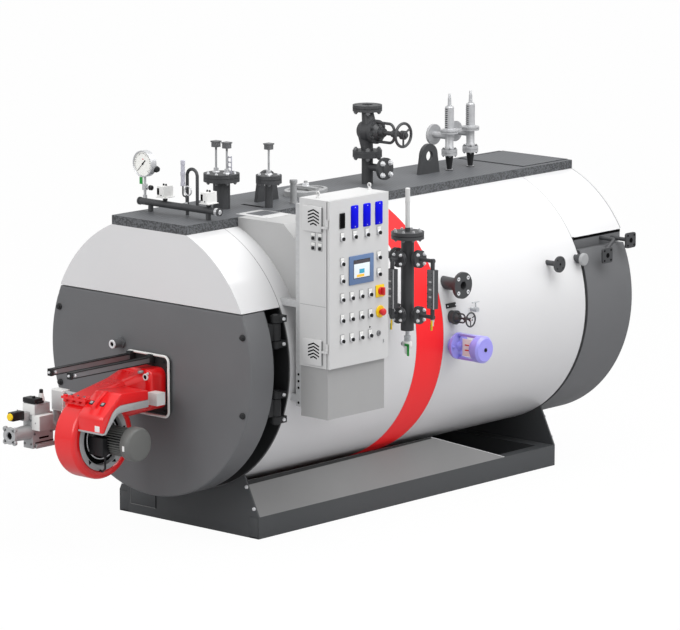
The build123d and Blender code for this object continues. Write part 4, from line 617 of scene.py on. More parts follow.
class Piece:
    """One mesh piece of the scene while it is built."""

    def __init__(self, name: str, slot: str, body: Body = Body.BOILER) -> None:
        """Start an empty piece.

        Args:
            name: Object name.
            slot: Material slot of the record; not used.
            body: Body that it rides on.
        """
        self.name = name
        self.slot = slot
        self.body = body
        self.mesh = bmesh.new()
        self.finishes: list[Finish] = []

    def take(self, part: bmesh.types.BMesh, finish: Finish) -> None:
        """Merge a finished part into the piece in one finish.

        Args:
            part: Mesh of the part, freed here.
            finish: Finish.
        """
        if finish not in self.finishes:
            self.finishes.append(finish)
        index = self.finishes.index(finish)
        bmesh.ops.recalc_face_normals(part, faces=part.faces)
        for face in part.faces:
            face.material_index = index
            face.smooth = True
        data = bpy.data.meshes.new("part")
        part.to_mesh(data)
        part.free()
        self.mesh.from_mesh(data)
        bpy.data.meshes.remove(data)

    def box(self, x: Limits, station: Limits, z: Limits, finish: Finish, edge: float = 0.0,
            turn: Matrix | None = None) -> None:
        """Block between limits, with rounded edges, turned about its middle.

        Args:
            x: Limits across.
            station: Limits along.
            z: Limits in height.
            finish: Finish.
            edge: Edge rounding.
            turn: Turn about the middle.
        """
        part = bmesh.new()
        limits = (x, station, z)
        size = Vector([high - low for low, high in limits]) * MM
        middle = at(*((low + high) / 2 for low, high in limits))
        matrix = Matrix.Translation(middle) @ (turn or Matrix.Identity(4)) @ Matrix.Diagonal((*size, 1.0))
        bmesh.ops.create_cube(part, size=1.0, matrix=matrix)
        if edge:
            round_edges(part, part.edges[:], edge)
        self.take(part, finish)

    def rod(self, start: Place, axis: Axis, radius: float, length: float, finish: Finish, edge: float = 0.0,
            sides: int = 32) -> None:
        """Round or many-sided bar from a place along an axis.

        Args:
            start: Middle of the first end.
            axis: Direction.
            radius: Radius.
            length: Length.
            finish: Finish.
            edge: Edge rounding.
            sides: Facets.
        """
        part = bmesh.new()
        matrix = Matrix.Translation(at(*start) + axis.vector * (length * MM / 2)) @ axis.turn
        bmesh.ops.create_cone(part, cap_ends=True, segments=sides, radius1=radius * MM, radius2=radius * MM,
                              depth=length * MM, matrix=matrix)
        if edge:
            round_rims(part, axis, edge)
        self.take(part, finish)

    def turned(self, start: Place, axis: Axis, profile: Profile, finish: Finish, sides: int = 48) -> None:
        """Turned part from a profile of (radius, distance along the axis).

        Args:
            start: Origin of the profile.
            axis: Direction.
            profile: Radius and distance of each corner.
            finish: Finish.
            sides: Facets.
        """
        part = bmesh.new()
        place = Matrix.Translation(at(*start)) @ axis.turn
        points = [part.verts.new(place @ (Vector((radius, 0.0, along)) * MM)) for radius, along in profile]
        edges = [part.edges.new(pair) for pair in zip(points, points[1:])]
        bmesh.ops.spin(part, geom=[*points, *edges], cent=place.translation, axis=axis.vector, angle=tau,
                       steps=sides, use_merge=True)
        bmesh.ops.remove_doubles(part, verts=part.verts[:], dist=1e-6)
        self.take(part, finish)

    def ring(self, centre: Place, axis: Axis, radius: float, wire: float, finish: Finish, sides: int = 48) -> None:
        """Round wire ring about an axis.

        Args:
            centre: Middle of the ring.
            axis: Direction.
            radius: Radius of the ring.
            wire: Radius of the wire.
            finish: Finish.
            sides: Facets.
        """
        part = bmesh.new()
        place = Matrix.Translation(at(*centre)) @ axis.turn
        across = place @ Matrix.Translation((radius * MM, 0.0, 0.0)) @ Matrix.Rotation(pi / 2, 4, "X")
        bmesh.ops.create_circle(part, cap_ends=False, segments=12, radius=wire * MM, matrix=across)
        bmesh.ops.spin(part, geom=[*part.verts, *part.edges], cent=place.translation, axis=axis.vector,
                       angle=tau, steps=sides, use_merge=True)
        self.take(part, finish)

    def plate(self, outline: Sequence[Vector], axis: Axis, thickness: float, finish: Finish,
              edge: float = 0.0) -> None:
        """Flat plate with an outline of model points, thickened along an axis, with rounded rims.

        Args:
            outline: Model points of the outline.
            axis: Direction.
            thickness: Thickness.
            finish: Finish.
            edge: Edge rounding.
        """
        part = bmesh.new()
        _, edges = close_loop(part, outline)
        face = bmesh.ops.edgeloop_fill(part, edges=edges)["faces"]
        grown = bmesh.ops.extrude_face_region(part, geom=face)["geom"]
        moved = [item for item in grown if isinstance(item, bmesh.types.BMVert)]
        bmesh.ops.translate(part, vec=axis.vector * (thickness * MM), verts=moved)
        if edge:
            round_rims(part, axis, edge)
        self.take(part, finish)

    def band(self, radius: Limits, station: Limits, angles: Limits, finish: Finish) -> None:
        """Strip bent round the boiler's axis, between two angles up from the right side.

        Args:
            radius: Inner and outer radius.
            station: Limits along.
            angles: First and last angle in degrees.
            finish: Finish.
        """
        part = bmesh.new()
        first, last = (radians(angle) for angle in angles)
        outline = [(radius[i], station[j]) for i, j in ((0, 0), (1, 0), (1, 1), (0, 1))]
        corners, edges = close_loop(part, spots((reach * cos(first), spot, AXIS_Z + reach * sin(first))
                                                for reach, spot in outline))
        bmesh.ops.spin(part, geom=[*corners, *edges], cent=at(0.0, 0.0, AXIS_Z), axis=(0.0, -1.0, 0.0),
                       angle=last - first, steps=40)
        self.take(part, finish)

    def tube(self, route: Sequence[Vector], radius: float, finish: Finish, closed: bool = False) -> None:
        """Round bar along a route given in metres.

        Args:
            route: Points of the middle line.
            radius: Radius.
            finish: Finish.
            closed: Whether the route is a loop.
        """
        curve = bpy.data.curves.new(self.name + "_route", "CURVE")
        curve.dimensions = "3D"
        curve.bevel_depth = radius * MM
        curve.bevel_resolution = 4
        curve.use_fill_caps = not closed
        spline = curve.splines.new("POLY")
        spline.points.add(len(route) - 1)
        for point, place in zip(spline.points, route):
            point.co = (*place, 1.0)
        spline.use_cyclic_u = closed
        holder = bpy.data.objects.new(self.name + "_route", curve)
        data = bpy.data.meshes.new_from_object(holder)
        part = bmesh.new()
        part.from_mesh(data)
        bpy.data.objects.remove(holder)
        bpy.data.curves.remove(curve)
        bpy.data.meshes.remove(data)
        self.take(part, finish)

    def bolt(self, seat: Place, axis: Axis, size: float, finish: Finish, stud: bool = True) -> None:
        """Hexagon nut on a washer, with the stud's end standing out of it.

        Args:
            seat: Middle of the washer's seat.
            axis: Direction.
            size: Radius of the washer.
            finish: Finish.
            stud: Whether a stud's end stands out.
        """
        layers = [(size, size * 0.16, 24), (size * 0.9, size * 0.7, 6)]
        if stud:
            layers.append((size * 0.5, size * 0.42, 16))
        spot = Vector(seat)
        for radius, height, sides in layers:
            self.rod(tuple(spot), axis, radius, height, finish, edge=size * 0.06, sides=sides)
            spot = spot + axis.vector * height

    def bolts(self, centre: Place, axis: Axis, diameter: float, count: int, size: float, finish: Finish,
              stud: bool = True, start: float | None = None) -> None:
        """Bolt circle on a flange face."""
        for seat in circle(centre, axis, diameter, count, start):
            self.bolt(seat, axis, size, finish, stud)

    def done(self, replaced: Iterable[str] = ()) -> None:
        """Turn the piece into an object that rides on its body.

        Args:
            replaced: CAD nodes that the piece stands for.
        """
        data = bpy.data.meshes.new(self.name)
        self.mesh.to_mesh(data)
        self.mesh.free()
        data.set_sharp_from_angle(angle=SMOOTH_ANGLE)
        for finish in self.finishes:
            data.materials.append(finish.material())
        piece = link(self.name, data)
        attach(piece, self.body.value)
        if replaced:
            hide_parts(*replaced)
        LOG.info("%s: %d faces on %s", self.name, len(data.polygons), self.body.value)


@dataclass
class FrameDress:
    """Finishes of the carried-over CAD nodes."""

    def build(self) -> None:
        """Give every node the finish of its slot, or its own."""
        for part in frame["record"]["subparts"]:
            finish = NODE_FINISHES.get(part["node"], SLOT_FINISHES[part["material_slot"]])
            node = frame["nodes"][part["node"]]
            for slot in node.material_slots:
                slot.material = finish.material()
        LOG.info("frame: %d nodes dressed", len(frame["nodes"]))


@dataclass
class BaseDress:
    """Fixings of the base frame and the trims of the skirts, with painted light and shade on the skirts, the hatch
    and the floor under the boiler.
    """

    front: float = 321.0
    rear: float = 3115.0
    bolt_places: tuple[Pair, ...] = ((492.0, 309.0), (553.0, 183.0))
    bolt_size: float = 12.0
    hatch_x: Limits = (-491.0, -276.0)
    hatch_z: Limits = (60.0, 153.0)
    half: float = 588.0
    rail_height: float = 135.0
    rail_flange: float = 75.0
    skirt_top: Pair = (486.3, 346.0)
    skirt_sheet: float = 6.6
    skirt_start: float = 331.0
    skirt_ends: tuple[Pair, Pair] = ((3105.0, 3105.0), (2611.0, 2010.0))
    shadow_sheet_half: float = 512.0
    shadow_sheet_z: Limits = (0.4, 3.6)
    lip: Pair = (24.0, 9.0)

    def build(self) -> None:
        """Add bolts, hatch, rail ends and the skirts."""
        piece = Piece("base_fixings", "galvanised")
        for x, z in self.bolt_places:
            for side in (-1, 1):
                piece.bolt((side * x, self.front, z), Axis.FRONT, self.bolt_size, ZINC, stud=False)
                piece.bolt((side * x, self.rear, z), Axis.BACK, self.bolt_size, ZINC, stud=False)
        piece.done()
        self.trims()
        self.skirts()

    def trims(self) -> None:
        """Hatch in the front saddle with painted highlight and shadow strips round it, closing plates of the rails,
        and a painted-shadow sheet on the floor between them.
        """
        trim = Piece("base_trims", "base_grey")
        low, high = self.hatch_x
        foot, top = self.hatch_z
        trim.box(self.hatch_x, (self.front - 2, self.front), self.hatch_z, BASE_GREY, edge=0.8)
        # Painted highlight and shadow round the raised hatch: lighter strips along its left and lower edges, a black
        # strip along its right edge.
        trim.box((low - 2, low), (self.front - 3, self.front), self.hatch_z, BASE_GREY_PAINTED_LIGHT)
        trim.box((low, high), (self.front - 3, self.front), (foot - 3, foot), BASE_GREY_PAINTED_LIGHT)
        trim.box((high, high + 4), (self.front - 3, self.front), (foot - 3, top), SHADE_AND_BLACK_GLASS)
        for side in (-1, 1):
            rail = span(side * (self.half - self.rail_flange), side * (self.half - 1))
            for station in (self.front, self.rear - 3):
                trim.box(rail, (station, station + 3), (1, self.rail_height - 1), BASE_GREY, edge=0.5)
        # Painted shadow: a thin grey sheet on the floor between the rails, darker than the white floor, stands for
        # the shade under the boiler.
        trim.box(about(0.0, self.shadow_sheet_half), (self.front + 12, self.rear - 12), self.shadow_sheet_z, BASE_GREY, edge=0.4)
        trim.done()

    def skirts(self) -> None:
        """Sloped side sheets in place of their CAD node, in the base grey lightened as painted light; the right one
        leaves the rear bay open. A black strip of painted shadow runs along each top edge.
        """
        piece = Piece("skirt_sheets", "base_grey")
        x, z = self.skirt_top
        for side, (low_end, high_end) in zip((-1, 1), self.skirt_ends):
            outline = [(side * self.half, self.skirt_start, self.rail_height),
                       (side * self.half, low_end, self.rail_height),
                       (side * x, high_end, z), (side * x, self.skirt_start, z)]
            inward = Axis.LEFT if side > 0 else Axis.RIGHT
            piece.plate(spots(outline), inward, self.skirt_sheet, BASE_GREY_PAINTED_LIGHT)
            # Painted shadow: a black strip along the top of each sheet for the gap under the casing, taller at the
            # front than at the rear.
            slope = (self.half - x) / (z - self.rail_height)
            first, last = self.lip
            strip = [(side * (x + first * slope + 1.5), self.skirt_start, z - first),
                     (side * (x + last * slope + 1.5), high_end, z - last),
                     (side * (x + 1.5), high_end, z), (side * (x + 1.5), self.skirt_start, z)]
            piece.plate(spots(strip), inward, 3, BLACK_STEEL)
        low_end, high_end = self.skirt_ends[1]
        edge = [(self.half - 3, low_end, self.rail_height + 1), (x - 2, high_end, z - 1)]
        piece.tube(spots(edge), 2.6, ZINC)
        piece.done(("base_skirts",))


@dataclass
class RearDress:
    """Closed joint of the rear hood, painted shade in the smoke box's joint and in the rear pocket."""

    joint: Limits = (3103.0, 3130.0)
    joint_angles: Limits = (31.0, 68.2)
    radius: float = CASING_RADIUS
    pocket_x: float = 712.0
    rim: Limits = (3597.0, 3605.0)
    pocket_station: Limits = (3131.0, 3601.0)
    pocket_z: Limits = (1426.0, 1504.0)
    shade_z: float = 1486.0

    def build(self) -> None:
        """Add the joint and the painted shade."""
        piece = Piece("hood_joint", "white_paint")
        low, high = self.joint_angles
        for angles in ((low, high), (180 - high, 180 - low)):
            piece.band((self.radius - 5, self.radius), self.joint, angles, WHITE)
            piece.band((self.radius - 5, self.radius + 0.5), self.rim, angles, FITTING_GREY)
        piece.done()
        # Painted shade: a black band deep in the smoke box's joint, a grey sheet darkening the pocket's back wall and
        # a black strip at its top under the hood.
        rear_shade = Piece("rear_painted_shade", "black_steel")
        rear_shade.band((self.radius - 30, self.radius - 16), (self.joint[0] + 2, self.joint[1] - 2), (150, 390),
                    SHADE_AND_BLACK_GLASS)
        rear_shade.box((self.pocket_x, self.pocket_x + 4), self.pocket_station, self.pocket_z, DOOR_GREY, edge=1)
        rear_shade.box((self.pocket_x + 4, self.pocket_x + 5), self.pocket_station,
                   (self.shade_z, self.pocket_z[1]), SHADE_AND_BLACK_GLASS)
        rear_shade.done()


@dataclass
class WalkwayDress:
    """Cover strips and the perforated inset of the crown walkway."""

    plate_start: float = 3150.0
    plate_end: float = 3600.0
    plate_half: float = 274.0
    plate_rise: float = 3.0
    slit_x: Limits = (-9.0, 168.0)
    slit_station: Limits = (806.0, 836.0)
    frame_x: Limits = (222.0, 480.0)
    frame_station: Limits = (517.0, 738.0)
    inset_x: Limits = (265.0, 392.0)
    inset_station: Limits = (563.0, 724.0)
    screw_inset: float = 14.0

    def build(self) -> None:
        """Add the strips."""
        piece = Piece("walkway_strips", "walkway")
        top = WALK_Z + self.plate_rise
        piece.box(about(0.0, self.plate_half), (self.plate_start, self.plate_start + 9), (top, top + 0.8), SHADE_AND_BLACK_GLASS)
        for side in (-1, 1):
            edge = span(side * self.plate_half, side * (self.plate_half - 5))
            piece.box(edge, (self.plate_start, self.plate_end), (top, top + 0.8), SHADE_AND_BLACK_GLASS)
        piece.box(self.slit_x, self.slit_station, (WALK_Z, WALK_Z + 0.6), SHADE_AND_BLACK_GLASS)
        piece.box(self.frame_x, self.frame_station, (WALK_Z, WALK_Z + 2.5), CABINET, edge=0.8)
        piece.box(self.inset_x, self.inset_station, (WALK_Z + 2, WALK_Z + 3.5), WALKWAY, edge=0.4)
        inset = (self.screw_inset, -self.screw_inset)
        for station, along in zip(self.frame_station, inset):
            for x, across in zip(self.frame_x, inset):
                piece.rod((x + across, station + along, WALK_Z + 2.5), Axis.UP, 6, 2.4, SATIN, edge=0.8, sides=16)
        piece.done()


@dataclass
class DoorDress:
    """Burner door: clamp bosses, hinge bolts, sight glass and the bright bar round the burner plate."""

    clamp_places: tuple[Pair, ...] = ((768.0, 1299.0), (766.0, 831.0), (-768.0, 1299.0), (-766.0, 831.0))
    hinge_x: float = 790.0
    hinge_station: float = 256.5
    hinge_levels: Pair = (848.0, 1304.0)
    knuckle_radius: float = 32.0
    lug_rise: float = 75.0
    sight: Place = (-236.0, -78.0, 1144.0)
    bar_x: Limits = (-170.0, 178.0)
    bar_z: Limits = (742.0, 1110.0)
    bar_station: float = -22.0
    bar_radius: float = 8.0
    bar_bend: float = 34.0

    def build(self) -> None:
        """Add the door's small pieces."""
        piece = Piece("door_clamps", "black_steel", Body.DOOR)
        for x, z in self.clamp_places:
            piece.turned((x, 0.0, z), Axis.FRONT, ((20, 0), (20, 6), (14, 9), (14, 17), (10, 21), (0, 22)),
                         BLACK_STEEL, 24)
        piece.done()
        self.hinge_bolts()
        self.sight_ring()
        self.plate_bar()

    def hinge_bolts(self) -> None:
        """Bright bolts on the hinge lugs and grease nipples on the knuckles."""
        piece = Piece("hinge_bolts", "galvanised")
        for level in self.hinge_levels:
            for side, axis in ((-1, Axis.DOWN), (1, Axis.UP)):
                z = level + side * self.lug_rise
                piece.bolt((self.hinge_x + self.knuckle_radius, self.hinge_station + 36, z), Axis.RIGHT, 11,
                           ZINC, stud=False)
                nipple = ((24, 0), (24, 5), (18, 9), (0, 9))
                piece.turned((self.hinge_x, self.hinge_station, z + side * 20), axis, nipple, BLACK_STEEL, 24)
        piece.done()

    def sight_ring(self) -> None:
        """Bright bezel and dark glass at the end of the inspection stub."""
        piece = Piece("sight_bezel", "stainless", Body.DOOR)
        x, station, z = self.sight
        piece.turned((x, station, z), Axis.FRONT, ((13, 0), (13, 4), (15, 7), (24, 7), (27, 4), (27, 0)), ZINC, 36)
        piece.rod((x, station, z), Axis.FRONT, 13, 2, SHADE_AND_BLACK_GLASS, sides=24)
        piece.done()

    def plate_bar(self) -> None:
        """Bent bright bar that frames the burner plate."""
        piece = Piece("plate_bar", "stainless", Body.DOOR)
        corners = [(self.bar_x[i], self.bar_station, self.bar_z[j])
                   for i, j in ((0, 1), (1, 1), (1, 0), (0, 0))]
        piece.tube(rounded(corners, self.bar_bend, closed=True), self.bar_radius, PALE_PLASTIC, closed=True)
        piece.done()


@dataclass
class MotorDress:
    """Fan motor in place of its CAD node: intake ring, finned body, terminal box and fan cap."""

    station: float = -422.0
    axis_z: float = 661.0
    back_x: float = -10.0
    ring_depth: float = 36.0
    ring_radii: tuple[float, float, float] = (158.0, 198.0, 164.0)
    slots: int = 5
    body_x: Limits = (18.0, 267.0)
    core_radius: float = 72.0
    fin_radius: float = 88.0
    fins: int = 34
    cap_x: Limits = (262.0, 333.0)
    cap_radius: float = 103.0
    label_x: Limits = (286.0, 303.0)
    terminal_x: Limits = (40.0, 148.0)
    terminal_z: Limits = (588.0, 690.0)
    conduit_x: float = 136.0
    conduit_end: Pair = (24.0, 468.0)

    def place(self, x: float) -> Place:
        """Point on the motor's axis."""
        return x, self.station, self.axis_z

    def build(self) -> None:
        """Build the motor."""
        piece = Piece("fan_motor", "motor_grey", Body.DOOR)
        self.intake(piece)
        start, end = self.body_x
        piece.rod(self.place(start), Axis.RIGHT, self.core_radius, end - start, BLACK_STEEL, sides=64)
        for i in range(self.fins):
            self.fin(piece, tau * (i + 0.5) / self.fins, start + 14, end - 4)
        piece.rod(self.place(start - 16), Axis.RIGHT, self.fin_radius + 14, 34, MOTOR_GREY, edge=4, sides=64)
        depth = self.cap_x[1] - self.cap_x[0]
        rim = self.cap_radius
        profile = ((self.fin_radius - 8, 0), (rim - 2, 0), (rim, 3), (rim, depth - 20), (rim - 3, depth - 9),
                   (rim - 10, depth - 2), (rim - 16, depth), (0, depth))
        piece.turned(self.place(self.cap_x[0]), Axis.RIGHT, profile, MOTOR_GREY, 72)
        front = self.station - rim
        piece.box(self.label_x, (front - 1, front + 6), (self.axis_z - 28, self.axis_z + 4), PALE_PLASTIC, edge=1)
        self.terminal_box(piece)
        piece.done(("burner_motor",))

    def intake(self, piece: Piece) -> None:
        """Pale intake ring in the volute's mouth; its slots and throat are dark plates and a dark disc of painted
        shade.

        Args:
            piece: Piece to add to.
        """
        back, outer, inner = self.ring_radii
        depth = self.ring_depth
        profile = ((inner - 4, 4), (back, 0), (outer, depth), (outer - 4, depth + 2), (inner, depth + 2),
                   (inner - 4, depth - 4), (inner - 4, 4))
        piece.turned(self.place(self.back_x), Axis.RIGHT, profile, CAST_ALLOY, 72)
        # Painted shade: a black disc in the throat and black plates in the slots.
        piece.rod(self.place(self.back_x), Axis.RIGHT, inner - 3, 8, SHADE_AND_BLACK_GLASS, sides=64)
        piece.ring(self.place(self.back_x + depth - 10), Axis.RIGHT, 126, 4, ZINC, 64)
        face = self.back_x + depth + 2.4
        for i in range(self.slots):
            angle = tau * (i + 0.15) / self.slots
            corners = [(face, self.station + radius * cos(angle + offset), self.axis_z + radius * sin(angle + offset))
                       for radius, offset in ((inner + 4, -0.1), (inner + 4, 0.1), (outer - 8, 0.06))]
            piece.plate(spots(corners), Axis.LEFT, 1.6, SHADE_AND_BLACK_GLASS)

    def fin(self, piece: Piece, angle: float, start: float, end: float) -> None:
        """One cooling fin along the body.

        Args:
            piece: Piece to add to.
            angle: Angle about the motor's axis.
            start: First end across.
            end: Last end across.
        """
        middle = (self.core_radius + self.fin_radius) / 2 - 2
        half = (self.fin_radius - self.core_radius) / 2 + 2
        station = self.station + middle * cos(angle)
        z = self.axis_z + middle * sin(angle)
        piece.box((start, end), about(station, half), about(z, 2.6), MOTOR_GREY, edge=1.2,
                  turn=Matrix.Rotation(angle, 4, "X"))

    def terminal_box(self, piece: Piece) -> None:
        """Black terminal box at the front of the body, with its conduit down to the ring.

        Args:
            piece: Piece to add to.
        """
        front = self.station - self.fin_radius - 34
        lid_x, lid_z = ((low - 4, high + 4) for low, high in (self.terminal_x, self.terminal_z))
        piece.box(self.terminal_x, (front, front + 62), self.terminal_z, BLACK_PLASTIC, edge=8)
        piece.box(lid_x, (front - 8, front), lid_z, BLACK_PLASTIC, edge=3)
        x, station, z = self.conduit_x, front + 26, self.terminal_z[0]
        end_x, end_z = self.conduit_end
        piece.rod((x, station, z + 2), Axis.DOWN, 11, 16, BLACK_PLASTIC, edge=2, sides=6)
        route = [(x, station, z - 12), (x, station, z - 83), (end_x + 36, front + 80, end_z),
                 (end_x, front + 92, end_z)]
        piece.tube(rounded(route, 18), 6.5, BLACK_PLASTIC)


@dataclass
class CoverDress:
    """Bent control cover in place of its CAD node, with rim, ridge, windows and a bare label place."""

    x: Limits = (30.3, 235.3)
    rear: float = -250.0
    rear_top: float = 948.0
    bend: Pair = (-482.0, 964.0)
    nose: Pair = (-634.0, 838.0)
    foot: float = 737.0
    lip: float = 28.0
    rim_height: float = 11.0
    elbow: Pair = (-508.0, 850.0)
    rim_width: float = 44.0
    bend_radius: float = 46.0
    elbow_radius: float = 74.0
    ridge_x: Limits = (100.0, 130.0)
    window_x: Limits = (54.0, 146.0)
    label_x: Limits = (170.0, 210.0)
    label_z: Limits = (752.0, 788.0)

    def slope(self, share: float, lift: float = 0.0) -> Pair:
        """Station and height on the sloped face, from its bend to its nose, lifted off it.

        Args:
            share: Share of the way to the nose.
            lift: Distance off the face.

        Returns:
            Station and height.
        """
        run, fall = self.nose[0] - self.bend[0], self.nose[1] - self.bend[1]
        length = sqrt(run**2 + fall**2)
        station, z = self.bend[0] + run * share, self.bend[1] + fall * share
        return station + lift * fall / length, z - lift * run / length

    def build(self) -> None:
        """Build the cover."""
        piece = Piece("control_cover", "burner_red", Body.DOOR)
        low, high = self.x
        seam = self.foot + self.rim_height
        top = rounded([(low, self.rear, self.rear_top), (low, *self.bend), (low, *self.nose),
                       (low, self.nose[0], seam)], self.bend_radius)
        upper = [(low, self.nose[0] + self.lip - 12, seam), (low, self.elbow[0] - 22, self.elbow[1] + self.rim_width),
                 (low, self.rear, self.elbow[1] + self.rim_width)]
        lower = [(low, self.nose[0] + self.lip, self.foot), (low, *self.elbow), (low, self.rear, self.elbow[1])]
        upper_line = rounded(upper, self.elbow_radius + self.rim_width)
        piece.plate([*top, *upper_line], Axis.RIGHT, high - low, BURNER_RED, edge=7)
        lower_line = rounded(lower, self.elbow_radius)
        corner = [at(low, self.nose[0], seam), at(low, self.nose[0], self.foot)]
        piece.plate([*corner, *lower_line, *reversed(upper_line)], Axis.RIGHT, high - low, CAST_ALLOY, edge=2)
        self.face_details(piece)
        piece.done(("burner_cover",))

    def face_details(self, piece: Piece) -> None:
        """Raised ridge between two windows on the slope, screws and the bare label place.

        Args:
            piece: Piece to add to.
        """
        points = (self.slope(0.72, -3), self.slope(0.64, 17), self.slope(0.08, 15), self.slope(-0.04, -3))
        low, high = self.ridge_x
        piece.plate(spots((low, *point) for point in points), Axis.RIGHT, high - low, BURNER_RED, edge=6)
        rise, run = self.bend[1] - self.nose[1], self.bend[0] - self.nose[0]
        tilt = Matrix.Rotation(atan2(rise, run), 4, "X")
        station, z = self.slope(0.5, 1.0)
        for x in self.window_x:
            piece.box((x, x + 32), about(station, 14), about(z, 3), BLACK_PLASTIC, edge=1.5, turn=tilt)
            piece.box((x + 5, x + 27), about(station, 9), (z - 1, z + 3.8), FITTING_GREY, edge=0.8, turn=tilt)
        piece.box(self.label_x, (self.nose[0] - 1.2, self.nose[0] + 1), self.label_z, PALE_PLASTIC, edge=0.5)


@dataclass
class BurnerDress:
    """Ports, slide-bar ends and pins of the burner."""

    port: Place = (103.0, -139.0, 997.0)
    bar_x: Pair = (-125.0, 40.0)
    bar_half: float = 15.0
    bar_z: Limits = (1060.5, 1098.5)
    bar_end: float = -714.0
    plate_face: float = -14.0
    clamp_start: float = -58.0
    strip_end: float = -50.0
    pin_x: float = 132.0
    pin_rise: float = 150.0
    lip_x: Limits = (-162.0, 42.0)
    lip_front: float = -585.0
    lip_top: float = 915.0

    def build(self) -> None:
        """Add the burner's details."""
        self.head_details()
        self.bar_ends()
        self.lip_details()

    def head_details(self) -> None:
        """White-ringed port and screws on the head, and the pins of the mounting plate."""
        piece = Piece("head_details", "stainless", Body.DOOR)
        piece.turned(self.port, Axis.FRONT, ((13, 0), (13, 7), (16, 9), (20, 7), (21, 0)), PALE_PLASTIC, 36)
        # Painted shade: black disc in the port's bore.
        piece.rod(self.port, Axis.FRONT, 13, 4, SHADE_AND_BLACK_GLASS, edge=1, sides=24)
        x, station, z = self.port
        piece.rod((x - 26, station, z + 30), Axis.FRONT, 9, 34, FITTING_GREY, edge=2, sides=16)
        piece.rod((x + 22, station, z + 24), Axis.FRONT, 8, 14, ZINC, edge=2, sides=6)
        for side in (-1, 1):
            for z in about(FURNACE_Z, self.pin_rise):
                piece.bolt((side * self.pin_x, self.plate_face, z), Axis.FRONT, 9, BLACK_STEEL)
        piece.done()

    def bar_ends(self) -> None:
        """Black end stops with bright bolts on the slide bars."""
        piece = Piece("bar_ends", "black_steel", Body.DOOR)
        low, high = self.bar_z
        for x in self.bar_x:
            piece.box(about(x, self.bar_half + 2), (self.bar_end, self.bar_end + 22), (low - 3, high + 2),
                      BLACK_STEEL, edge=2)
            piece.bolt((x + self.bar_half + 2, self.bar_end + 34, (low + high) / 2), Axis.RIGHT, 8, ZINC, stud=False)
            piece.bolt((x, self.bar_end, (low + high) / 2), Axis.FRONT, 8, ZINC, stud=False)
            piece.box(about(x, self.bar_half + 3), (self.clamp_start, self.plate_face), (low - 5, high + 14),
                      BLACK_STEEL, edge=3)
            for side in (-1, 1):
                edge = span(x + side * (self.bar_half + 1.5), x + side * (self.bar_half - 4))
                for z in (low - 1, high - 5):
                    piece.box(edge, (self.bar_end + 22, self.strip_end), (z, z + 6.5), BLACK_STEEL, edge=1)
        piece.done()

    def lip_details(self) -> None:
        """Lugs and bolts along the lip of the duct's mouth."""
        piece = Piece("duct_lip_bolts", "burner_red", Body.DOOR)
        low, high = self.lip_x
        station, top = self.lip_front + 16, self.lip_top
        for i in range(4):
            x = low + 22 + (high - low - 44) * i / 3
            piece.turned((x, station, top), Axis.UP, ((14, 0), (14, 8), (11, 12), (0, 12)), BURNER_RED, 24)
            piece.rod((x, station, top + 12), Axis.UP, 7, 7, BOLT_STEEL, edge=1, sides=6)
            piece.turned((x, station, top - 14), Axis.DOWN, ((13, 0), (13, 16), (9, 20), (0, 20)), BURNER_RED, 24)
        piece.done()


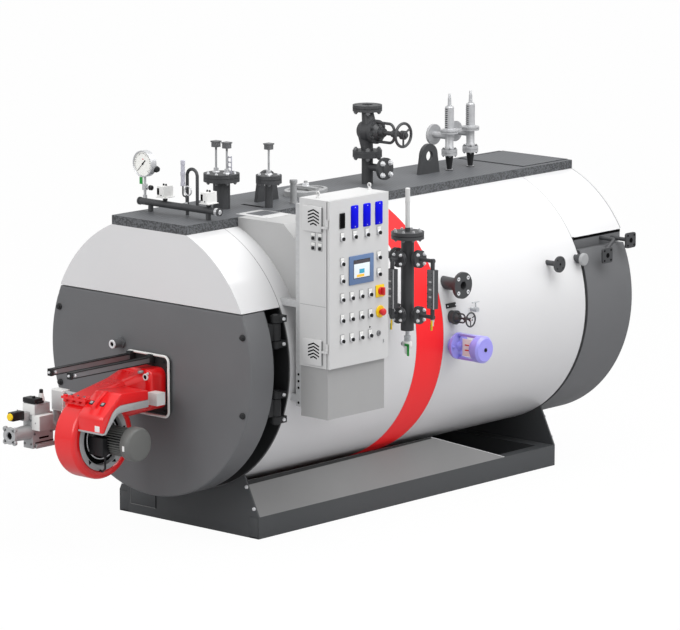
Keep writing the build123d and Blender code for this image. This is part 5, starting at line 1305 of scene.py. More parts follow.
@dataclass
class GasTrainDress:
    """Gas valve train in place of its CAD node: flanged neck, valve block, actuators, switch and pipe."""

    x: float = -425.0
    axis_z: float = 661.0
    front: float = -763.0
    bolt_circle: float = 110.0
    bore: float = 26.0
    block_x: Limits = (-467.0, -385.0)
    block_station: Limits = (-607.0, -435.0)
    block_z: Limits = (562.0, 769.0)
    box_x: Limits = (-467.0, -362.0)
    box_end: float = -483.0
    box_top: float = 836.0
    lid_z: Limits = (838.0, 869.0)
    side_x: Limits = (-390.0, -321.0)
    side_z: Limits = (679.0, 769.0)
    vent: Place = (-401.0, -517.0, 836.0)
    switch_z: Limits = (748.0, 800.0)
    riser_station: float = -364.0
    riser_top: float = 863.0
    pipe_radius: float = 25.0
    volute_x: float = -150.0
    foot_z: Limits = (562.0, 590.0)
    groove_z: Limits = (594.0, 599.0)
    slot_z: Limits = (616.0, 627.0)
    side_screws: Limits = (580.0, 650.0)
    face_screws: Limits = (590.0, 735.0)
    meter_z: Limits = (762.0, 892.0)

    def build(self) -> None:
        """Build the train."""
        piece = Piece("gas_valve_train", "cast_alloy", Body.DOOR)
        self.neck(piece)
        self.block(piece)
        self.actuators(piece)
        self.switch(piece)
        route = [(self.x, self.block_station[1], self.axis_z), (self.x, self.riser_station, self.axis_z),
                 (self.x, self.riser_station, self.riser_top), (self.volute_x, self.riser_station, self.riser_top)]
        piece.tube(rounded(route, 42), self.pipe_radius, CAST_ALLOY)
        station = self.riser_station
        piece.box((self.x - 19, self.x + 82), about(station, 30), self.meter_z, PALE_PLASTIC, edge=6)
        low, high = self.meter_z
        piece.box((self.x - 12, self.x + 74), (station - 31.5, station - 29), (low + 10, high - 8), CABINET, edge=1)
        piece.done(("gas_train",))

    def neck(self, piece: Piece) -> None:
        """Lobed inlet flange with an open bore and its neck; black discs in the bore and in each lug's hole are
        painted shade.

        Args:
            piece: Piece to add to.
        """
        bore = self.bore
        profile = ((bore, 90), (bore, 0), (50, 0), (52, 2), (52, 16), (50, 18), (44, 22), (40, 60), (46, 156),
                   (0, 156))
        piece.turned((self.x, self.front, self.axis_z), Axis.BACK, profile, CAST_ALLOY, 56)
        # Painted shade: black disc inside the bore.
        piece.rod((self.x, self.front + 14, self.axis_z), Axis.BACK, bore, 4, SHADE_AND_BLACK_GLASS, sides=40)
        sleeve = ((bore, 0), (bore - 2, 0), (bore - 2, 12), (bore, 12))
        piece.turned((self.x, self.front + 13, self.axis_z), Axis.FRONT, sleeve, ZINC, 40)
        for x, _, z in circle((self.x, self.front, self.axis_z), Axis.BACK, self.bolt_circle, 4):
            piece.rod((x, self.front, z), Axis.BACK, 16, 18, CAST_ALLOY, edge=2, sides=28)
            # Painted shade: black disc in the lug's hole.
            piece.rod((x, self.front + 1.0, z), Axis.FRONT, 7, 1.0, SHADE_AND_BLACK_GLASS, sides=20)

    def block(self, piece: Piece) -> None:
        """Valve body with its slot, ribs and screws; the slot and the groove are black strips of painted shade.

        Args:
            piece: Piece to add to.
        """
        piece.box(self.block_x, self.block_station, self.block_z, CAST_ALLOY, edge=5)
        side = self.block_x[1]
        start, end = self.block_station
        piece.box((side, side + 1), (start + 54, end - 40), self.slot_z, SHADE_AND_BLACK_GLASS)
        piece.box((side, side + 12), (start + 20, end), self.foot_z, CAST_ALLOY, edge=3)
        piece.box((side, side + 2), (start + 20, end), self.groove_z, SHADE_AND_BLACK_GLASS)
        for station in (start + 16, end - 22):
            for z in self.side_screws:
                piece.bolt((side, station, z), Axis.RIGHT, 7, BOLT_STEEL, stud=False)
        low, high = self.block_x
        for x in (low + 14, high - 14):
            for z in self.face_screws:
                piece.bolt((x, start, z), Axis.FRONT, 7, BOLT_STEEL, stud=False)

    def actuators(self, piece: Piece) -> None:
        """Top box with its black plug and vent, and the white-faced box at the side.

        Args:
            piece: Piece to add to.
        """
        start = self.block_station[0]
        low, high = self.box_x
        piece.box(self.box_x, (start, self.box_end), (self.block_z[1], self.box_top), CAST_ALLOY, edge=3)
        piece.box((low + 2, high - 2), (start - 2.5, start), (self.block_z[1] + 2, self.box_top - 2),
                  PALE_PLASTIC, edge=1)
        piece.box((low, high), (start - 2, start + 66), self.lid_z, BLACK_PLASTIC, edge=5)
        piece.box((low + 40, high + 8), (start + 20, start + 70), (self.lid_z[0], self.lid_z[1] - 16),
                  BLACK_PLASTIC, edge=4)
        piece.rod((high - 34, start + 24, self.lid_z[1]), Axis.UP, 10, 12, BLACK_PLASTIC, edge=3, sides=20)
        piece.turned(self.vent, Axis.UP, ((26, 0), (25, 6), (21, 10), (20, 22), (15, 40), (14, 54), (0, 54)),
                     PALE_PLASTIC, 36)
        x, station, z = self.vent
        piece.turned((x, station, z + 54), Axis.UP, ((12, 0), (12, 18), (9, 22), (0, 22)), BLACK_PLASTIC, 28)
        low, high = self.side_x
        piece.box(self.side_x, (start - 1, self.box_end - 10), self.side_z, CAST_ALLOY, edge=4)
        piece.box((low + 2, high - 1), (start - 3.5, start), (self.side_z[0] + 1, self.side_z[1] - 1),
                  PALE_PLASTIC, edge=1.5)
        piece.box((low + 2, high + 0.6), (start, self.box_end - 12),
                  (self.side_z[1] - 2, self.side_z[1] + 1.5), PALE_PLASTIC, edge=0.8)
        piece.rod(((low + high) / 2, start - 3.5, sum(self.side_z) / 2), Axis.FRONT, 5, 1.5, FITTING_GREY, sides=16)

    def switch(self, piece: Piece) -> None:
        """Black pressure switch with its yellow dial, on a bracket of the block.

        Args:
            piece: Piece to add to.
        """
        start = self.block_station[0]
        middle = self.x
        z = sum(self.switch_z) / 2
        piece.box(about(middle, 23), (self.front + 14, start - 48), self.switch_z, BLACK_PLASTIC, edge=4)
        piece.box((middle - 18, middle + 20), (start - 50, start + 2),
                  (self.switch_z[0] - 12, self.switch_z[1] - 12), CAST_ALLOY, edge=4)
        piece.turned((middle, self.front + 14, z), Axis.FRONT, ((22, 0), (22, 8), (19, 11), (0, 11)),
                     YELLOW_PLASTIC, 36)
        piece.rod((middle + 6, start - 90, self.switch_z[1]), Axis.UP, 4, 12, BOLT_STEEL, edge=1, sides=12)


@dataclass
class CabinetDress:
    """Door devices, vents, lifting eyes and trims of the control cabinet."""

    back: float = 905.0
    front: float = 1119.0
    face: float = 1141.0
    start: float = 342.0
    width: float = 522.0
    top: float = 2107.0
    upper_columns: tuple[float, ...] = (111.0, 220.0, 328.0, 434.0)
    lower_columns: tuple[float, ...] = (111.0, 195.0, 279.0, 357.0)
    lower_drops: tuple[float, ...] = (586.0, 711.0, 833.0)
    side_drops: tuple[float, ...] = (373.0, 474.0)
    selector_drop: float = 224.0
    display_drop: float = 117.0
    touch: tuple[float, float, float, float] = (277.0, 434.0, 214.0, 172.0)
    main_across: float = 447.0
    vent_x: Limits = (937.0, 1089.0)
    vents: tuple[Limits, ...] = ((1917.0, 2069.0), (1122.0, 1277.0))
    vent_depth: float = 14.0
    chevrons: int = 5
    chevron_pitch: float = 20.0
    chevron_arm: Pair = (44.0, 26.0)
    chevron_drop: Pair = (17.0, 10.0)
    eye_inset: Pair = (57.0, 14.0)
    lock_place: Pair = (434.0, 840.0)
    slot_place: Pair = (478.0, 892.0)
    pilot_place: Pair = (357.0, 792.0)
    device_x: Limits = (1016.0, 1070.0)
    device_z: Limits = (1888.0, 1830.0)
    seam_z: Limits = (1475.0, 1478.0)
    upright_place: Pair = (884.5, 354.0)
    upright_holes: tuple[float, ...] = (1045.0, 1004.0, 964.0, 874.0)

    def spot(self, across: float, drop: float) -> Pair:
        """Station and height of a place on the door."""
        return self.start + across, self.top - drop

    def pad(self, piece: Piece, across: float, drop: float, size: Limits, depth: Limits, finish: Finish,
            edge: float = 1.0) -> None:
        """Rounded pad standing on the door, between two distances from its face.

        Args:
            piece: Piece to add to.
            across: Distance from the door's front edge.
            drop: Distance below the door's top.
            size: Width and height.
            depth: Two distances from the face.
            finish: Finish.
            edge: Edge rounding.
        """
        station, z = self.spot(across, drop)
        width, height = size
        piece.box((self.face + depth[0], self.face + depth[1]), about(station, width / 2),
                  about(z, height / 2), finish, edge=edge)

    def build(self) -> None:
        """Add everything on the cabinet."""
        self.displays()
        self.selectors()
        self.main_switches()
        self.lock()
        self.vent_boxes()
        self.eyes()

    def displays(self) -> None:
        """Digital indicators and the touch panel."""
        piece = Piece("panel_displays", "black_plastic", Body.PANEL)
        first, *rest = self.upper_columns
        self.pad(piece, first, self.display_drop + 10, (44, 91), (0, 7), BLACK_PLASTIC, edge=2)
        self.pad(piece, first, self.display_drop + 10, (36, 82), (6, 7.6), SHADE_AND_BLACK_GLASS, edge=0.5)
        for across in rest:
            self.pad(piece, across, self.display_drop, (64, 138), (-8, 8), DISPLAY_BLUE, edge=7.5)
            self.pad(piece, across, self.display_drop, (44, 92), (7, 9), DISPLAY_BLUE, edge=0.9)
            for rise in (-57, 57):
                station, z = self.spot(across, self.display_drop + rise)
                piece.rod((self.face + 7, station, z), Axis.RIGHT, 3.4, 2, TAG_GREY, edge=0.5, sides=12)
        across, drop, width, height = self.touch
        rows = ((0, 0, (width, height), (0, 8), BEZEL_BLUE, 3),
                (0, -4, (146, 112), (7, 8.4), BLACK_PLASTIC, 0.4),
                (0, -4, (138, 104), (8, 8.9), SCREEN, 0.2), (0, -46, (138, 20), (8.5, 9.2), SCREEN_DARK, 0.2),
                (0, 10, (46, 26), (8.5, 9.2), SCREEN_TEAL, 0.2),
                (-12, 36, (66, 16), (8.5, 9.2), SCREEN_ORANGE, 0.2))
        for shift, lower, size, depth, finish, edge in rows:
            self.pad(piece, across + shift, drop + lower, size, depth, finish, edge)
        piece.done(("door_displays",))

    def places(self) -> list[Pair]:
        """Places of the selector switches on the door.

        Returns:
            Distances across and down the door.
        """
        ends = (self.upper_columns[0], self.upper_columns[-1])
        grids = ((self.upper_columns, (self.selector_drop,)), (ends, self.side_drops),
                 (self.lower_columns, self.lower_drops))
        return [(across, drop) for columns, drops in grids for across in columns for drop in drops]

    def selectors(self) -> None:
        """Selector switches: a bare legend plate above a black knob."""
        piece = Piece("panel_selectors", "black_plastic", Body.PANEL)
        for across, drop in self.places():
            self.pad(piece, across, drop - 2, (34, 52), (0, 3.5), FITTING_GREY, edge=1)
            self.pad(piece, across, drop - 14, (30, 22), (3, 4.6), PALE_PLASTIC, edge=0.6)
            station, z = self.spot(across, drop + 10)
            collar = ((15.5, 0), (15.5, 5), (13, 8), (11, 8), (11, 6), (0, 6))
            knob = ((11, 0), (11, 10), (9, 12), (0, 12))
            for depth, profile, finish in ((3.5, collar, ZINC), (9, knob, BLACK_PLASTIC)):
                piece.turned((self.face + depth, station, z), Axis.RIGHT, profile, finish, 28)
            piece.box((self.face + 12, self.face + 24), about(station, 3), about(z, 11), BLACK_PLASTIC, edge=1.5)
        piece.done(("door_switches",))

    def main_switches(self) -> None:
        """Main isolator with its handle, and the mushroom stop button."""
        piece = Piece("panel_main_switches", "yellow_plastic", Body.PANEL)
        isolator, stop = self.lower_drops[:2]
        self.pad(piece, self.main_across - 4, isolator, (74, 74), (0, 6), YELLOW_PLASTIC, edge=2.8)
        station, z = self.spot(self.main_across, isolator)
        piece.turned((self.face + 6, station, z), Axis.RIGHT, ((24, 0), (24, 8), (21, 12), (0, 12)), RED_PLASTIC, 40)
        piece.box((self.face + 16, self.face + 38), about(station, 8), about(z, 24), RED_PLASTIC, edge=4)
        station, z = self.spot(self.main_across, stop)
        piece.turned((self.face, station, z), Axis.RIGHT, ((37, 0), (37, 4), (35, 6), (0, 6)), YELLOW_PLASTIC, 48)
        profile = ((14, 6), (14, 18), (20, 20), (22, 25), (22, 30), (18, 36), (10, 39), (0, 40))
        piece.turned((self.face, station, z), Axis.RIGHT, profile, RED_PLASTIC, 40)
        piece.done(("main_switches",))

    def lock(self) -> None:
        """Round lock, small slot and a pilot lamp on the door."""
        piece = Piece("panel_lock", "stainless", Body.PANEL)
        station, z = self.spot(*self.lock_place)
        profile = ((17, 0), (17, 5), (14, 8), (6, 8), (6, 4), (0, 4))
        piece.turned((self.face, station, z), Axis.RIGHT, profile, BOLT_STEEL, 32)
        self.pad(piece, *self.slot_place, (8, 26), (0, 3), STAINLESS, edge=1)
        # Painted shade: black strip in the slot.
        self.pad(piece, *self.slot_place, (3, 16), (2.6, 3.4), SHADE_AND_BLACK_GLASS, edge=0.2)
        station, z = self.spot(*self.pilot_place)
        piece.rod((self.face, station, z), Axis.RIGHT, 5, 3, SHADE_AND_BLACK_GLASS, edge=1, sides=16)
        piece.done()

    def vent_boxes(self) -> None:
        """Louvre boxes with chevron slots on the front side, small devices and the body's seam. The slots and the
        upright's holes are black plates of painted shade, and a grey strip on each box's right end is painted shade.
        """
        piece = Piece("cabinet_vents", "cabinet_paint")
        plane = self.start - self.vent_depth
        low, high = self.vent_x
        middle = (low + high) / 2 + 16
        for z_low, z_high in self.vents:
            piece.box(self.vent_x, (plane, self.start), (z_low, z_high), CABINET, edge=4)
            for i in range(self.chevrons):
                crest = (z_low + z_high) / 2 + 60 - self.chevron_pitch * i
                short = i == self.chevrons - 1
                drop = self.chevron_drop[short]
                for side in (-1, 1):
                    arm = middle + side * self.chevron_arm[short]
                    corners = [(middle, plane - 0.6, crest), (arm, plane - 0.6, crest - drop),
                               (arm, plane - 0.6, crest - drop - 9), (middle, plane - 0.6, crest - 9)]
                    # Painted shade: black plate for one chevron slot.
                    piece.plate(spots(corners), Axis.BACK, 2, SHADE_AND_BLACK_GLASS)
            # Painted shade on the louvre box's right end.
            piece.box((high - 0.4, high + 0.8), (plane + 4, self.start - 2), (z_low + 6, z_high - 6), BOLT_STEEL)
        for x in self.device_x:
            for z in self.device_z:
                piece.box(about(x, 17), (self.start - 3, self.start), about(z, 25), FITTING_GREY, edge=1)
                piece.box(about(x, 14), (self.start - 4, self.start - 2), (z + 3, z + 22), PALE_PLASTIC, edge=0.6)
                piece.turned((x, self.start - 3, z - 10), Axis.FRONT, ((10, 0), (10, 4), (8, 8), (0, 8)),
                             BLACK_PLASTIC, 24)
        piece.box((self.back + 6, self.front - 4), (self.start - 0.8, self.start), self.seam_z, FITTING_GREY)
        for z in self.upright_holes:
            # Painted shade: black disc for a hole of the upright.
            piece.rod((*self.upright_place, z), Axis.FRONT, 8, 0.8, SHADE_AND_BLACK_GLASS, sides=20)
        piece.done()

    def eyes(self) -> None:
        """Lifting eyes on the cabinet's top."""
        piece = Piece("cabinet_eyes", "stainless")
        x = self.back + 96
        first, last = self.eye_inset
        for station in (self.start + first, self.start + self.width - last):
            piece.turned((x, station, self.top), Axis.UP, ((14, 0), (14, 5), (9, 8), (7, 16), (0, 16)), CABINET, 24)
            piece.ring((x, station, self.top + 26), Axis.FRONT, 11, 4.5, CABINET, 32)
        piece.done()


@dataclass
class CrownDress:
    """Bolts, dials, covers and small parts of the fittings on the walkway."""

    pots: tuple[Pot, ...] = ((0.0, 629.0, 110.0, 215.0, 8), (194.0, 840.0, 79.0, 200.0, 4))
    flange_pair: float = 50.0
    header_station: float = 251.0
    header_z: float = 1968.7
    gauge: Place = (-277.0, 231.0, 2199.7)
    gauge_radius: float = 73.0
    gauge_cock_z: float = 2057.0
    ticks: int = 26
    sweep: float = 270.0
    needle: float = radians(46)
    cap_x: float = 340.0
    coil: Pair = (90.0, 2072.0)
    coil_nut_x: float = 69.0
    sleeve: Pair = (42.0, 2096.0)
    switch_x: Pair = (-107.0, 256.0)
    switch_z: Limits = (2017.0, 2083.0)
    switch_face: float = 206.0
    valve_station: float = 1952.0
    valve_foot: float = WALK_Z + 170.0
    wheel: Pair = (314.0, 2247.7)
    bonnet_x: float = 85.0
    branch: Pair = (157.0, WALK_Z + 108.0)
    safety_x: float = 8.0
    safety_stations: Pair = (2731.0, 2938.0)
    safety_outlet: float = WALK_Z + 218.0
    ring_z: float = 2150.0
    case_z: float = 2174.7
    case_radius: float = 28.0
    slits_z: float = 2190.0
    slit_pitch: float = 13.0
    stem_z: float = 2322.0
    handhole: Place = (10.0, 1370.0, 1947.7)

    def build(self) -> None:
        """Add the crown's details."""
        self.pot_bolts()
        self.dial()
        self.switch_windows()
        self.header_details()
        self.handhole_details()
        self.valve_bolts()
        self.safety_details()

    def pot_bolts(self) -> None:
        """Bright bolts through the electrode flanges, and the level strip on the wide one."""
        piece = Piece("pot_bolts", "galvanised")
        for x, station, radius, height, count in self.pots:
            top = WALK_Z + height
            across = 2 * radius - 44
            piece.bolts((x, station, top), Axis.UP, across, count, 9, ZINC, stud=False)
            piece.bolts((x, station, top - self.flange_pair), Axis.DOWN, across, count, 12, BOLT_STEEL)
            for side in ((-45, 45) if count == 8 else (0,)):
                profile = ((24, 0), (24, 4), (19, 9), (15, 9), (15, 28), (0, 28))
                piece.turned((x + side, station, top), Axis.UP, profile, STAINLESS, 32)
        piece.done()
        strip = Piece("level_strip", "pale_plastic")
        x, station, _, height, _ = self.pots[0]
        low, high = WALK_Z + height, WALK_Z + height + 108
        for edge in (42, 72):
            strip.box((x + edge - 4, x + edge + 4), (station + 10, station + 14), (low, high), TAG_GREY, edge=1)
        for i in range(4):
            z = low + 10 + 30 * i
            strip.box((x + 42, x + 72), (station + 10, station + 14), about(z, 4), TAG_GREY, edge=1)
        strip.done()

    def dial(self) -> None:
        """White dial with ticks and a needle, and the small parts round the gauge."""
        piece = Piece("gauge_dial", "stainless")
        x, station, z = self.gauge
        plate = station + 3
        piece.rod((x, plate + 2, z), Axis.FRONT, self.gauge_radius - 0.5, 2.2, DIAL_WHITE, sides=64)
        for i in range(self.ticks):
            angle = radians(90 + self.sweep / 2 - self.sweep * i / (self.ticks - 1))
            reach, length = (62, 12) if i % 5 == 0 else (64, 6)
            self.hand(piece, angle, reach, (length, 1.4), (plate - 1.2, plate))
        for reach, half, length in ((-28, 1.3, 56), (16, 3.2, 30)):
            self.hand(piece, self.needle, reach, (length, half), (plate - 2.6, plate - 1.4))
        piece.box((x - 2, x + 6), (plate - 1.6, plate - 0.6), (z + 26, z + 32), RED_PLASTIC)
        piece.turned((x, plate, z), Axis.FRONT, ((7, 0), (7, 3), (4, 4.2), (0, 4.2)), BLACK_PLASTIC, 24)
        bezel = ((73, 0), (73, 2), (77, 4), (81, 2), (81, -3))
        piece.turned((x, station, z), Axis.FRONT, bezel, STAINLESS, 64)
        piece.turned((x + 60, station + 44, z - 30), Axis.RIGHT,
                     ((20, 0), (20, 18), (15, 22), (15, 30), (0, 30)), BLACK_STEEL, 32)
        piece.box((x + 24, x + 66), (station + 34, station + 56), (z - 44, z - 16), BLACK_STEEL, edge=4)
        piece.turned((x + 42, self.header_station, self.gauge_cock_z), Axis.RIGHT,
                     ((15.5, 0), (15.5, 16), (12, 20), (0, 20)), BLACK_PLASTIC, 24)
        piece.box((x - 40, x - 14), (station + 13, station + 16), (z - 127, z - 84), GREEN_PLASTIC, edge=1)
        piece.done()

    def hand(self, piece: Piece, angle: float, reach: float, size: Limits, depth: Limits) -> None:
        """Black bar along a ray of the dial, of a length and a half width.

        Args:
            piece: Piece to add to.
            angle: Angle of the ray.
            reach: Distance of the bar's middle.
            size: Length and half width.
            depth: Limits along.
        """
        x, z = self.gauge[0] + reach * cos(angle), self.gauge[2] + reach * sin(angle)
        length, half = size
        piece.box(about(x, length / 2), depth, about(z, half), BLACK_PLASTIC, turn=Matrix.Rotation(-angle, 4, "Y"))

    def switch_windows(self) -> None:
        """Dark windows, scale caps and screws of the pressure switches."""
        piece = Piece("switch_windows", "black_plastic")
        low, high = self.switch_z
        for x in self.switch_x:
            piece.box((x - 24, x - 6), (self.switch_face - 1.5, self.switch_face), (low + 14, high - 12),
                      BLACK_PLASTIC, edge=0.8)
            piece.box((x - 21, x - 9), (self.switch_face - 2.4, self.switch_face - 1), (low + 18, high - 16),
                      SHADE_AND_BLACK_GLASS)
            piece.rod((x + 10, self.switch_face, low + 12), Axis.FRONT, 4, 2, SHADE_AND_BLACK_GLASS, edge=0.6, sides=12)
            for offset in (-12, 8):
                piece.turned((x + offset, self.header_station, high), Axis.UP,
                             ((6, 0), (6, 8), (4, 11), (0, 11)), BLACK_PLASTIC, 20)
            piece.turned((x, self.header_station, self.header_z + 22), Axis.UP, ((15, 0), (15, 12), (0, 12)),
                         BLACK_STEEL, 6)
        piece.done()

    def header_details(self) -> None:
        """Bright domed cap on the header's end and the coil of the pigtail."""
        piece = Piece("header_details", "stainless")
        piece.turned((self.cap_x, self.header_station, self.header_z), Axis.RIGHT,
                     ((21.4, -26), (22.6, -26), (22, -8), (17, 6), (11, 11), (0, 12)), SATIN, 40)
        piece.ring((self.coil[0], self.header_station - 6, self.coil[1]), Axis.FRONT, 27, 4.5, STAINLESS, 40)
        piece.rod((self.coil_nut_x, self.header_station, self.header_z + 21), Axis.UP, 10, 10, STAINLESS,
                  edge=2, sides=6)
        sleeve = ((9, 0), (14.5, 0), (14.5, 20), (12.5, 22), (12.5, 62), (15, 64), (15, 84), (12.5, 86),
                  (12.5, 128), (14, 130), (14, 152), (10, 156), (0, 156))
        piece.turned((self.sleeve[0], self.header_station, self.sleeve[1]), Axis.UP, sleeve, TAG_GREY, 28)
        piece.done()

    def handhole_details(self) -> None:
        """Nut on the handhole's bridge."""
        piece = Piece("handhole_nut", "galvanised")
        x, station, z = self.handhole
        piece.rod((x, station, z + 16), Axis.UP, 24, 4, ZINC, edge=1)
        piece.rod((x, station, z + 20), Axis.UP, 21, 17, ZINC, edge=2, sides=6)
        piece.done()

    def valve_bolts(self) -> None:
        """Bolts of the steam valve's flanges, bonnet and blind branch, and the wheel's nut."""
        piece = Piece("steam_valve_bolts", "galvanised")
        station, foot = self.valve_station, self.valve_foot
        wheel_x, wheel_z = self.wheel
        branch_x, branch_z = self.branch
        for z, axis in ((foot, Axis.DOWN), (foot + 43, Axis.UP), (foot + 290, Axis.DOWN)):
            piece.bolts((0, station, z), axis, 145, 4, 16, BOLT_STEEL)
        piece.bolts((branch_x, station, branch_z), Axis.RIGHT, 104, 4, 17, ZINC)
        for z in (foot + 308, foot + 312):
            piece.turned((0, station, z), Axis.UP, ((91, -1), (93.2, -1), (93.2, 1), (91, 1)), BLACK_STEEL, 64)
        piece.bolts((self.bonnet_x, station, wheel_z), Axis.RIGHT, 124, 6, 11, BLACK_IRON, start=0.0)
        piece.turned((branch_x, station, branch_z), Axis.RIGHT, ((30, 0), (30, 3), (27, 5), (0, 5)), BLACK_IRON, 36)
        piece.done()
        nut = Piece("steam_wheel_nut", "galvanised", Body.CROWN_WHEEL)
        nut.turned((wheel_x, station, wheel_z), Axis.RIGHT, ((15, 0), (24, 0), (24, 4), (15, 6)), BLACK_IRON, 32)
        nut.done()

    def safety_details(self) -> None:
        """Spring slots, lever caps and flange bolts of the safety valves."""
        piece = Piece("safety_valve_details", "stainless")
        x = self.safety_x
        for station in self.safety_stations:
            piece.turned((x, station, WALK_Z), Axis.UP, ((26, 0), (26, 4), (15, 6), (27, 96), (20, 97)),
                         BLACK_STEEL, 36)
            piece.bolts((x, station, WALK_Z + 97), Axis.DOWN, 76, 4, 9, BOLT_STEEL)
            piece.bolts((x, station, WALK_Z + 134), Axis.UP, 76, 4, 9, BOLT_STEEL)
            piece.turned((x, station, WALK_Z + 134), Axis.UP,
                         ((26, 0), (30, 2), (30, 14), (26.5, 20), (26.5, 98), (31, 103)), SATIN, 40)
            piece.turned((x, station, self.ring_z), Axis.UP, ((50, 0), (55, 1), (55, 10), (50, 11)), ZINC, 48)
            piece.turned((x, station, self.case_z), Axis.UP,
                         ((40, 0), (40, 4), (28.5, 8), (28.5, 144), (24, 150), (12, 150)), SATIN, 40)
            for i in range(10):
                for turn in (88, 148, 208, 266):
                    self.slit(piece, station, self.slits_z + self.slit_pitch * i, radians(turn))
            stem = ((16, 0), (16, 8), (12, 10), (12, 24), (9, 28), (9, 78), (6, 84), (0, 84))
            piece.turned((x, station, self.stem_z), Axis.UP, stem, SATIN, 24)
            piece.turned((x - 133, station, self.safety_outlet), Axis.LEFT,
                         ((40, 0), (66, 0), (66, 9), (40, 9)), BLACK_IRON, 48)
            piece.bolts((x - 141, station, self.safety_outlet), Axis.LEFT, 100, 4, 11, ZINC)
        piece.done()

    def slit(self, piece: Piece, station: float, z: float, angle: float) -> None:
        """One slit in a spring case, drawn as a black plate of painted shade.

        Args:
            piece: Piece to add to.
            station: Station of the valve.
            z: Height of the slit.
            angle: Angle about the valve.
        """
        x, spot = self.safety_x + self.case_radius * cos(angle), station + self.case_radius * sin(angle)
        turn = Matrix.Rotation(angle, 4, "Z")
        piece.box(about(x, 1.2), about(spot, 9), about(z, 2.6), SHADE_AND_BLACK_GLASS, turn=turn)


@dataclass
class SideDress:
    """Details of the level column, gauges, valves and nozzles on the casing's side."""

    cock_z: float = 1136.0
    column_x: float = 985.0
    column_station: float = 1214.0
    column_flange: Limits = (1764.0, 1808.0)
    tube_z: float = 1832.0
    inner_flange: Limits = (880.0, 908.0)
    outer_flange: float = 1090.3
    front_flange: float = 1122.7
    levels: Pair = (1307.0, 1649.0)
    glass_x: float = 1185.3
    front_glass_station: float = 1075.7
    glass_z: float = 1478.0
    glass_size: tuple[float, float, float] = (58.0, 34.0, 236.0)
    feed: Place = (925.0, 1803.0, 1392.0)
    feed_circle: float = 125.0
    tag: Place = (822.0, 1803.0, 1256.0)
    rear_cap: Place = (850.0, 3073.0, 1384.0)
    drain_z: float = 1012.0
    drain_flange: float = 896.0
    drain_wheel: float = 1100.0
    scale_x: Limits = (936.0, 1012.0)
    scale_z: Limits = (958.0, 1066.0)
    mark_x: Limits = (956.0, 990.0)
    pointer_x: float = 940.0
    wheel_nut: Pair = (992.5, 1186.0)
    plates: tuple[Pair, ...] = ((3512.0, 1457.0), (3275.0, 1388.0))
    plate_face: float = 880.0
    plate_holes: Limits = (-32.0, 32.0)
    tag_tilt: float = radians(12.4)

    @property
    def glasses(self) -> tuple[Pair, Pair]:
        """Places of the two gauge glasses across and along."""
        return (self.glass_x, self.column_station), (self.column_x, self.front_glass_station)

    def build(self) -> None:
        """Add the side's details."""
        self.column_details()
        self.glass_details()
        self.cock_details()
        self.nozzle_details()
        self.valve_details()

    def column_details(self) -> None:
        """Flange bolts and the pale tube above the column."""
        piece = Piece("level_column_details", "galvanised")
        x, station = self.column_x, self.column_station
        low, high = self.column_flange
        piece.bolts((x, station, high), Axis.UP, 158, 8, 10, SATIN)
        piece.bolts((x, station, low), Axis.DOWN, 158, 8, 11, BOLT_STEEL)
        for z in self.levels:
            for face, axis in zip(self.inner_flange, (Axis.LEFT, Axis.RIGHT)):
                piece.bolts((face, station, z), axis, 76, 4, 9, ZINC)
            piece.bolts((self.outer_flange, station, z), Axis.RIGHT, 82, 4, 11, ZINC)
            piece.bolts((x, self.front_flange, z), Axis.FRONT, 76, 4, 10, ZINC)
        tube = ((14.5, 0), (14.5, 150), (16.5, 150), (16.5, 162), (14.5, 162), (14.5, 236), (11, 240), (0, 240))
        piece.turned((x, station, self.tube_z), Axis.UP, tube, CABINET, 32)
        piece.done()

    def glass_details(self) -> None:
        """Slots, bolted cover bars and scale strips of the gauge glasses."""
        piece = Piece("gauge_glass_details", "black_iron")
        width, depth, height = self.glass_size
        for x, station in self.glasses:
            face = station - depth / 2
            low, high = about(self.glass_z, height / 2)
            piece.box((x - 28, x + 15), (face - 3, face), (low, high), DOOR_GREY, edge=1)
            for rise in (-46, 0, 46):
                piece.box((x - 13, x + 7), (face - 4, face - 1), about(self.glass_z + rise, 5), CABINET, edge=0.8)
            for rise in (-100, -74, -26, 26, 74, 100):
                for side in (-23, 10):
                    piece.rod((x + side, face - 3, self.glass_z + rise), Axis.FRONT, 4, 3, BLACK_IRON, edge=1,
                              sides=6)
            piece.rod((x + width / 2 - 4, face - 3, low), Axis.UP, 3.8, height, SATIN, sides=16)
        piece.done()

    def cock_details(self) -> None:
        """Lever handles and drain ends of the gauge cocks, and the white drain cock."""
        piece = Piece("cock_details", "stainless")
        low = self.levels[0]
        for x, station in self.glasses:
            piece.turned((x, station, low - 13), Axis.DOWN, ((11, 0), (11, 16), (8, 20), (8, 40), (0, 40)),
                         STAINLESS, 24)
            piece.box((x + 2, x + 12), (station - 18, station - 12), (low - 78, low - 18), YELLOW_PLASTIC, edge=2)
            piece.box((x - 2, x + 3), (station - 18, station - 12), (low - 78, low - 40), GREEN_PLASTIC, edge=1)
        x, station = self.column_x, self.column_station
        z = self.cock_z
        body = ((10, 0), (10, 34), (24, 36), (29, 46), (29, 66), (22, 74), (17, 76), (15, 112), (11, 112),
                (11, 100), (0, 100))
        piece.turned((x, station, z + 36), Axis.DOWN, body, PALE_PLASTIC, 36)
        piece.rod((x + 8, station - 20, z - 16), Axis.FRONT, 9, 18, STAINLESS, edge=2, sides=6)
        piece.box((x + 2, x + 46), (station - 38, station - 33), (z - 24, z - 8), GREEN_PLASTIC, edge=2)
        piece.box((x + 28, x + 46), (station - 38, station - 33), (z - 82, z - 14), GREEN_PLASTIC, edge=2)
        piece.turned((x - 26, station, z - 20), Axis.LEFT, ((13, 0), (13, 14), (10, 18), (0, 18)), FITTING_GREY, 24)
        piece.done()

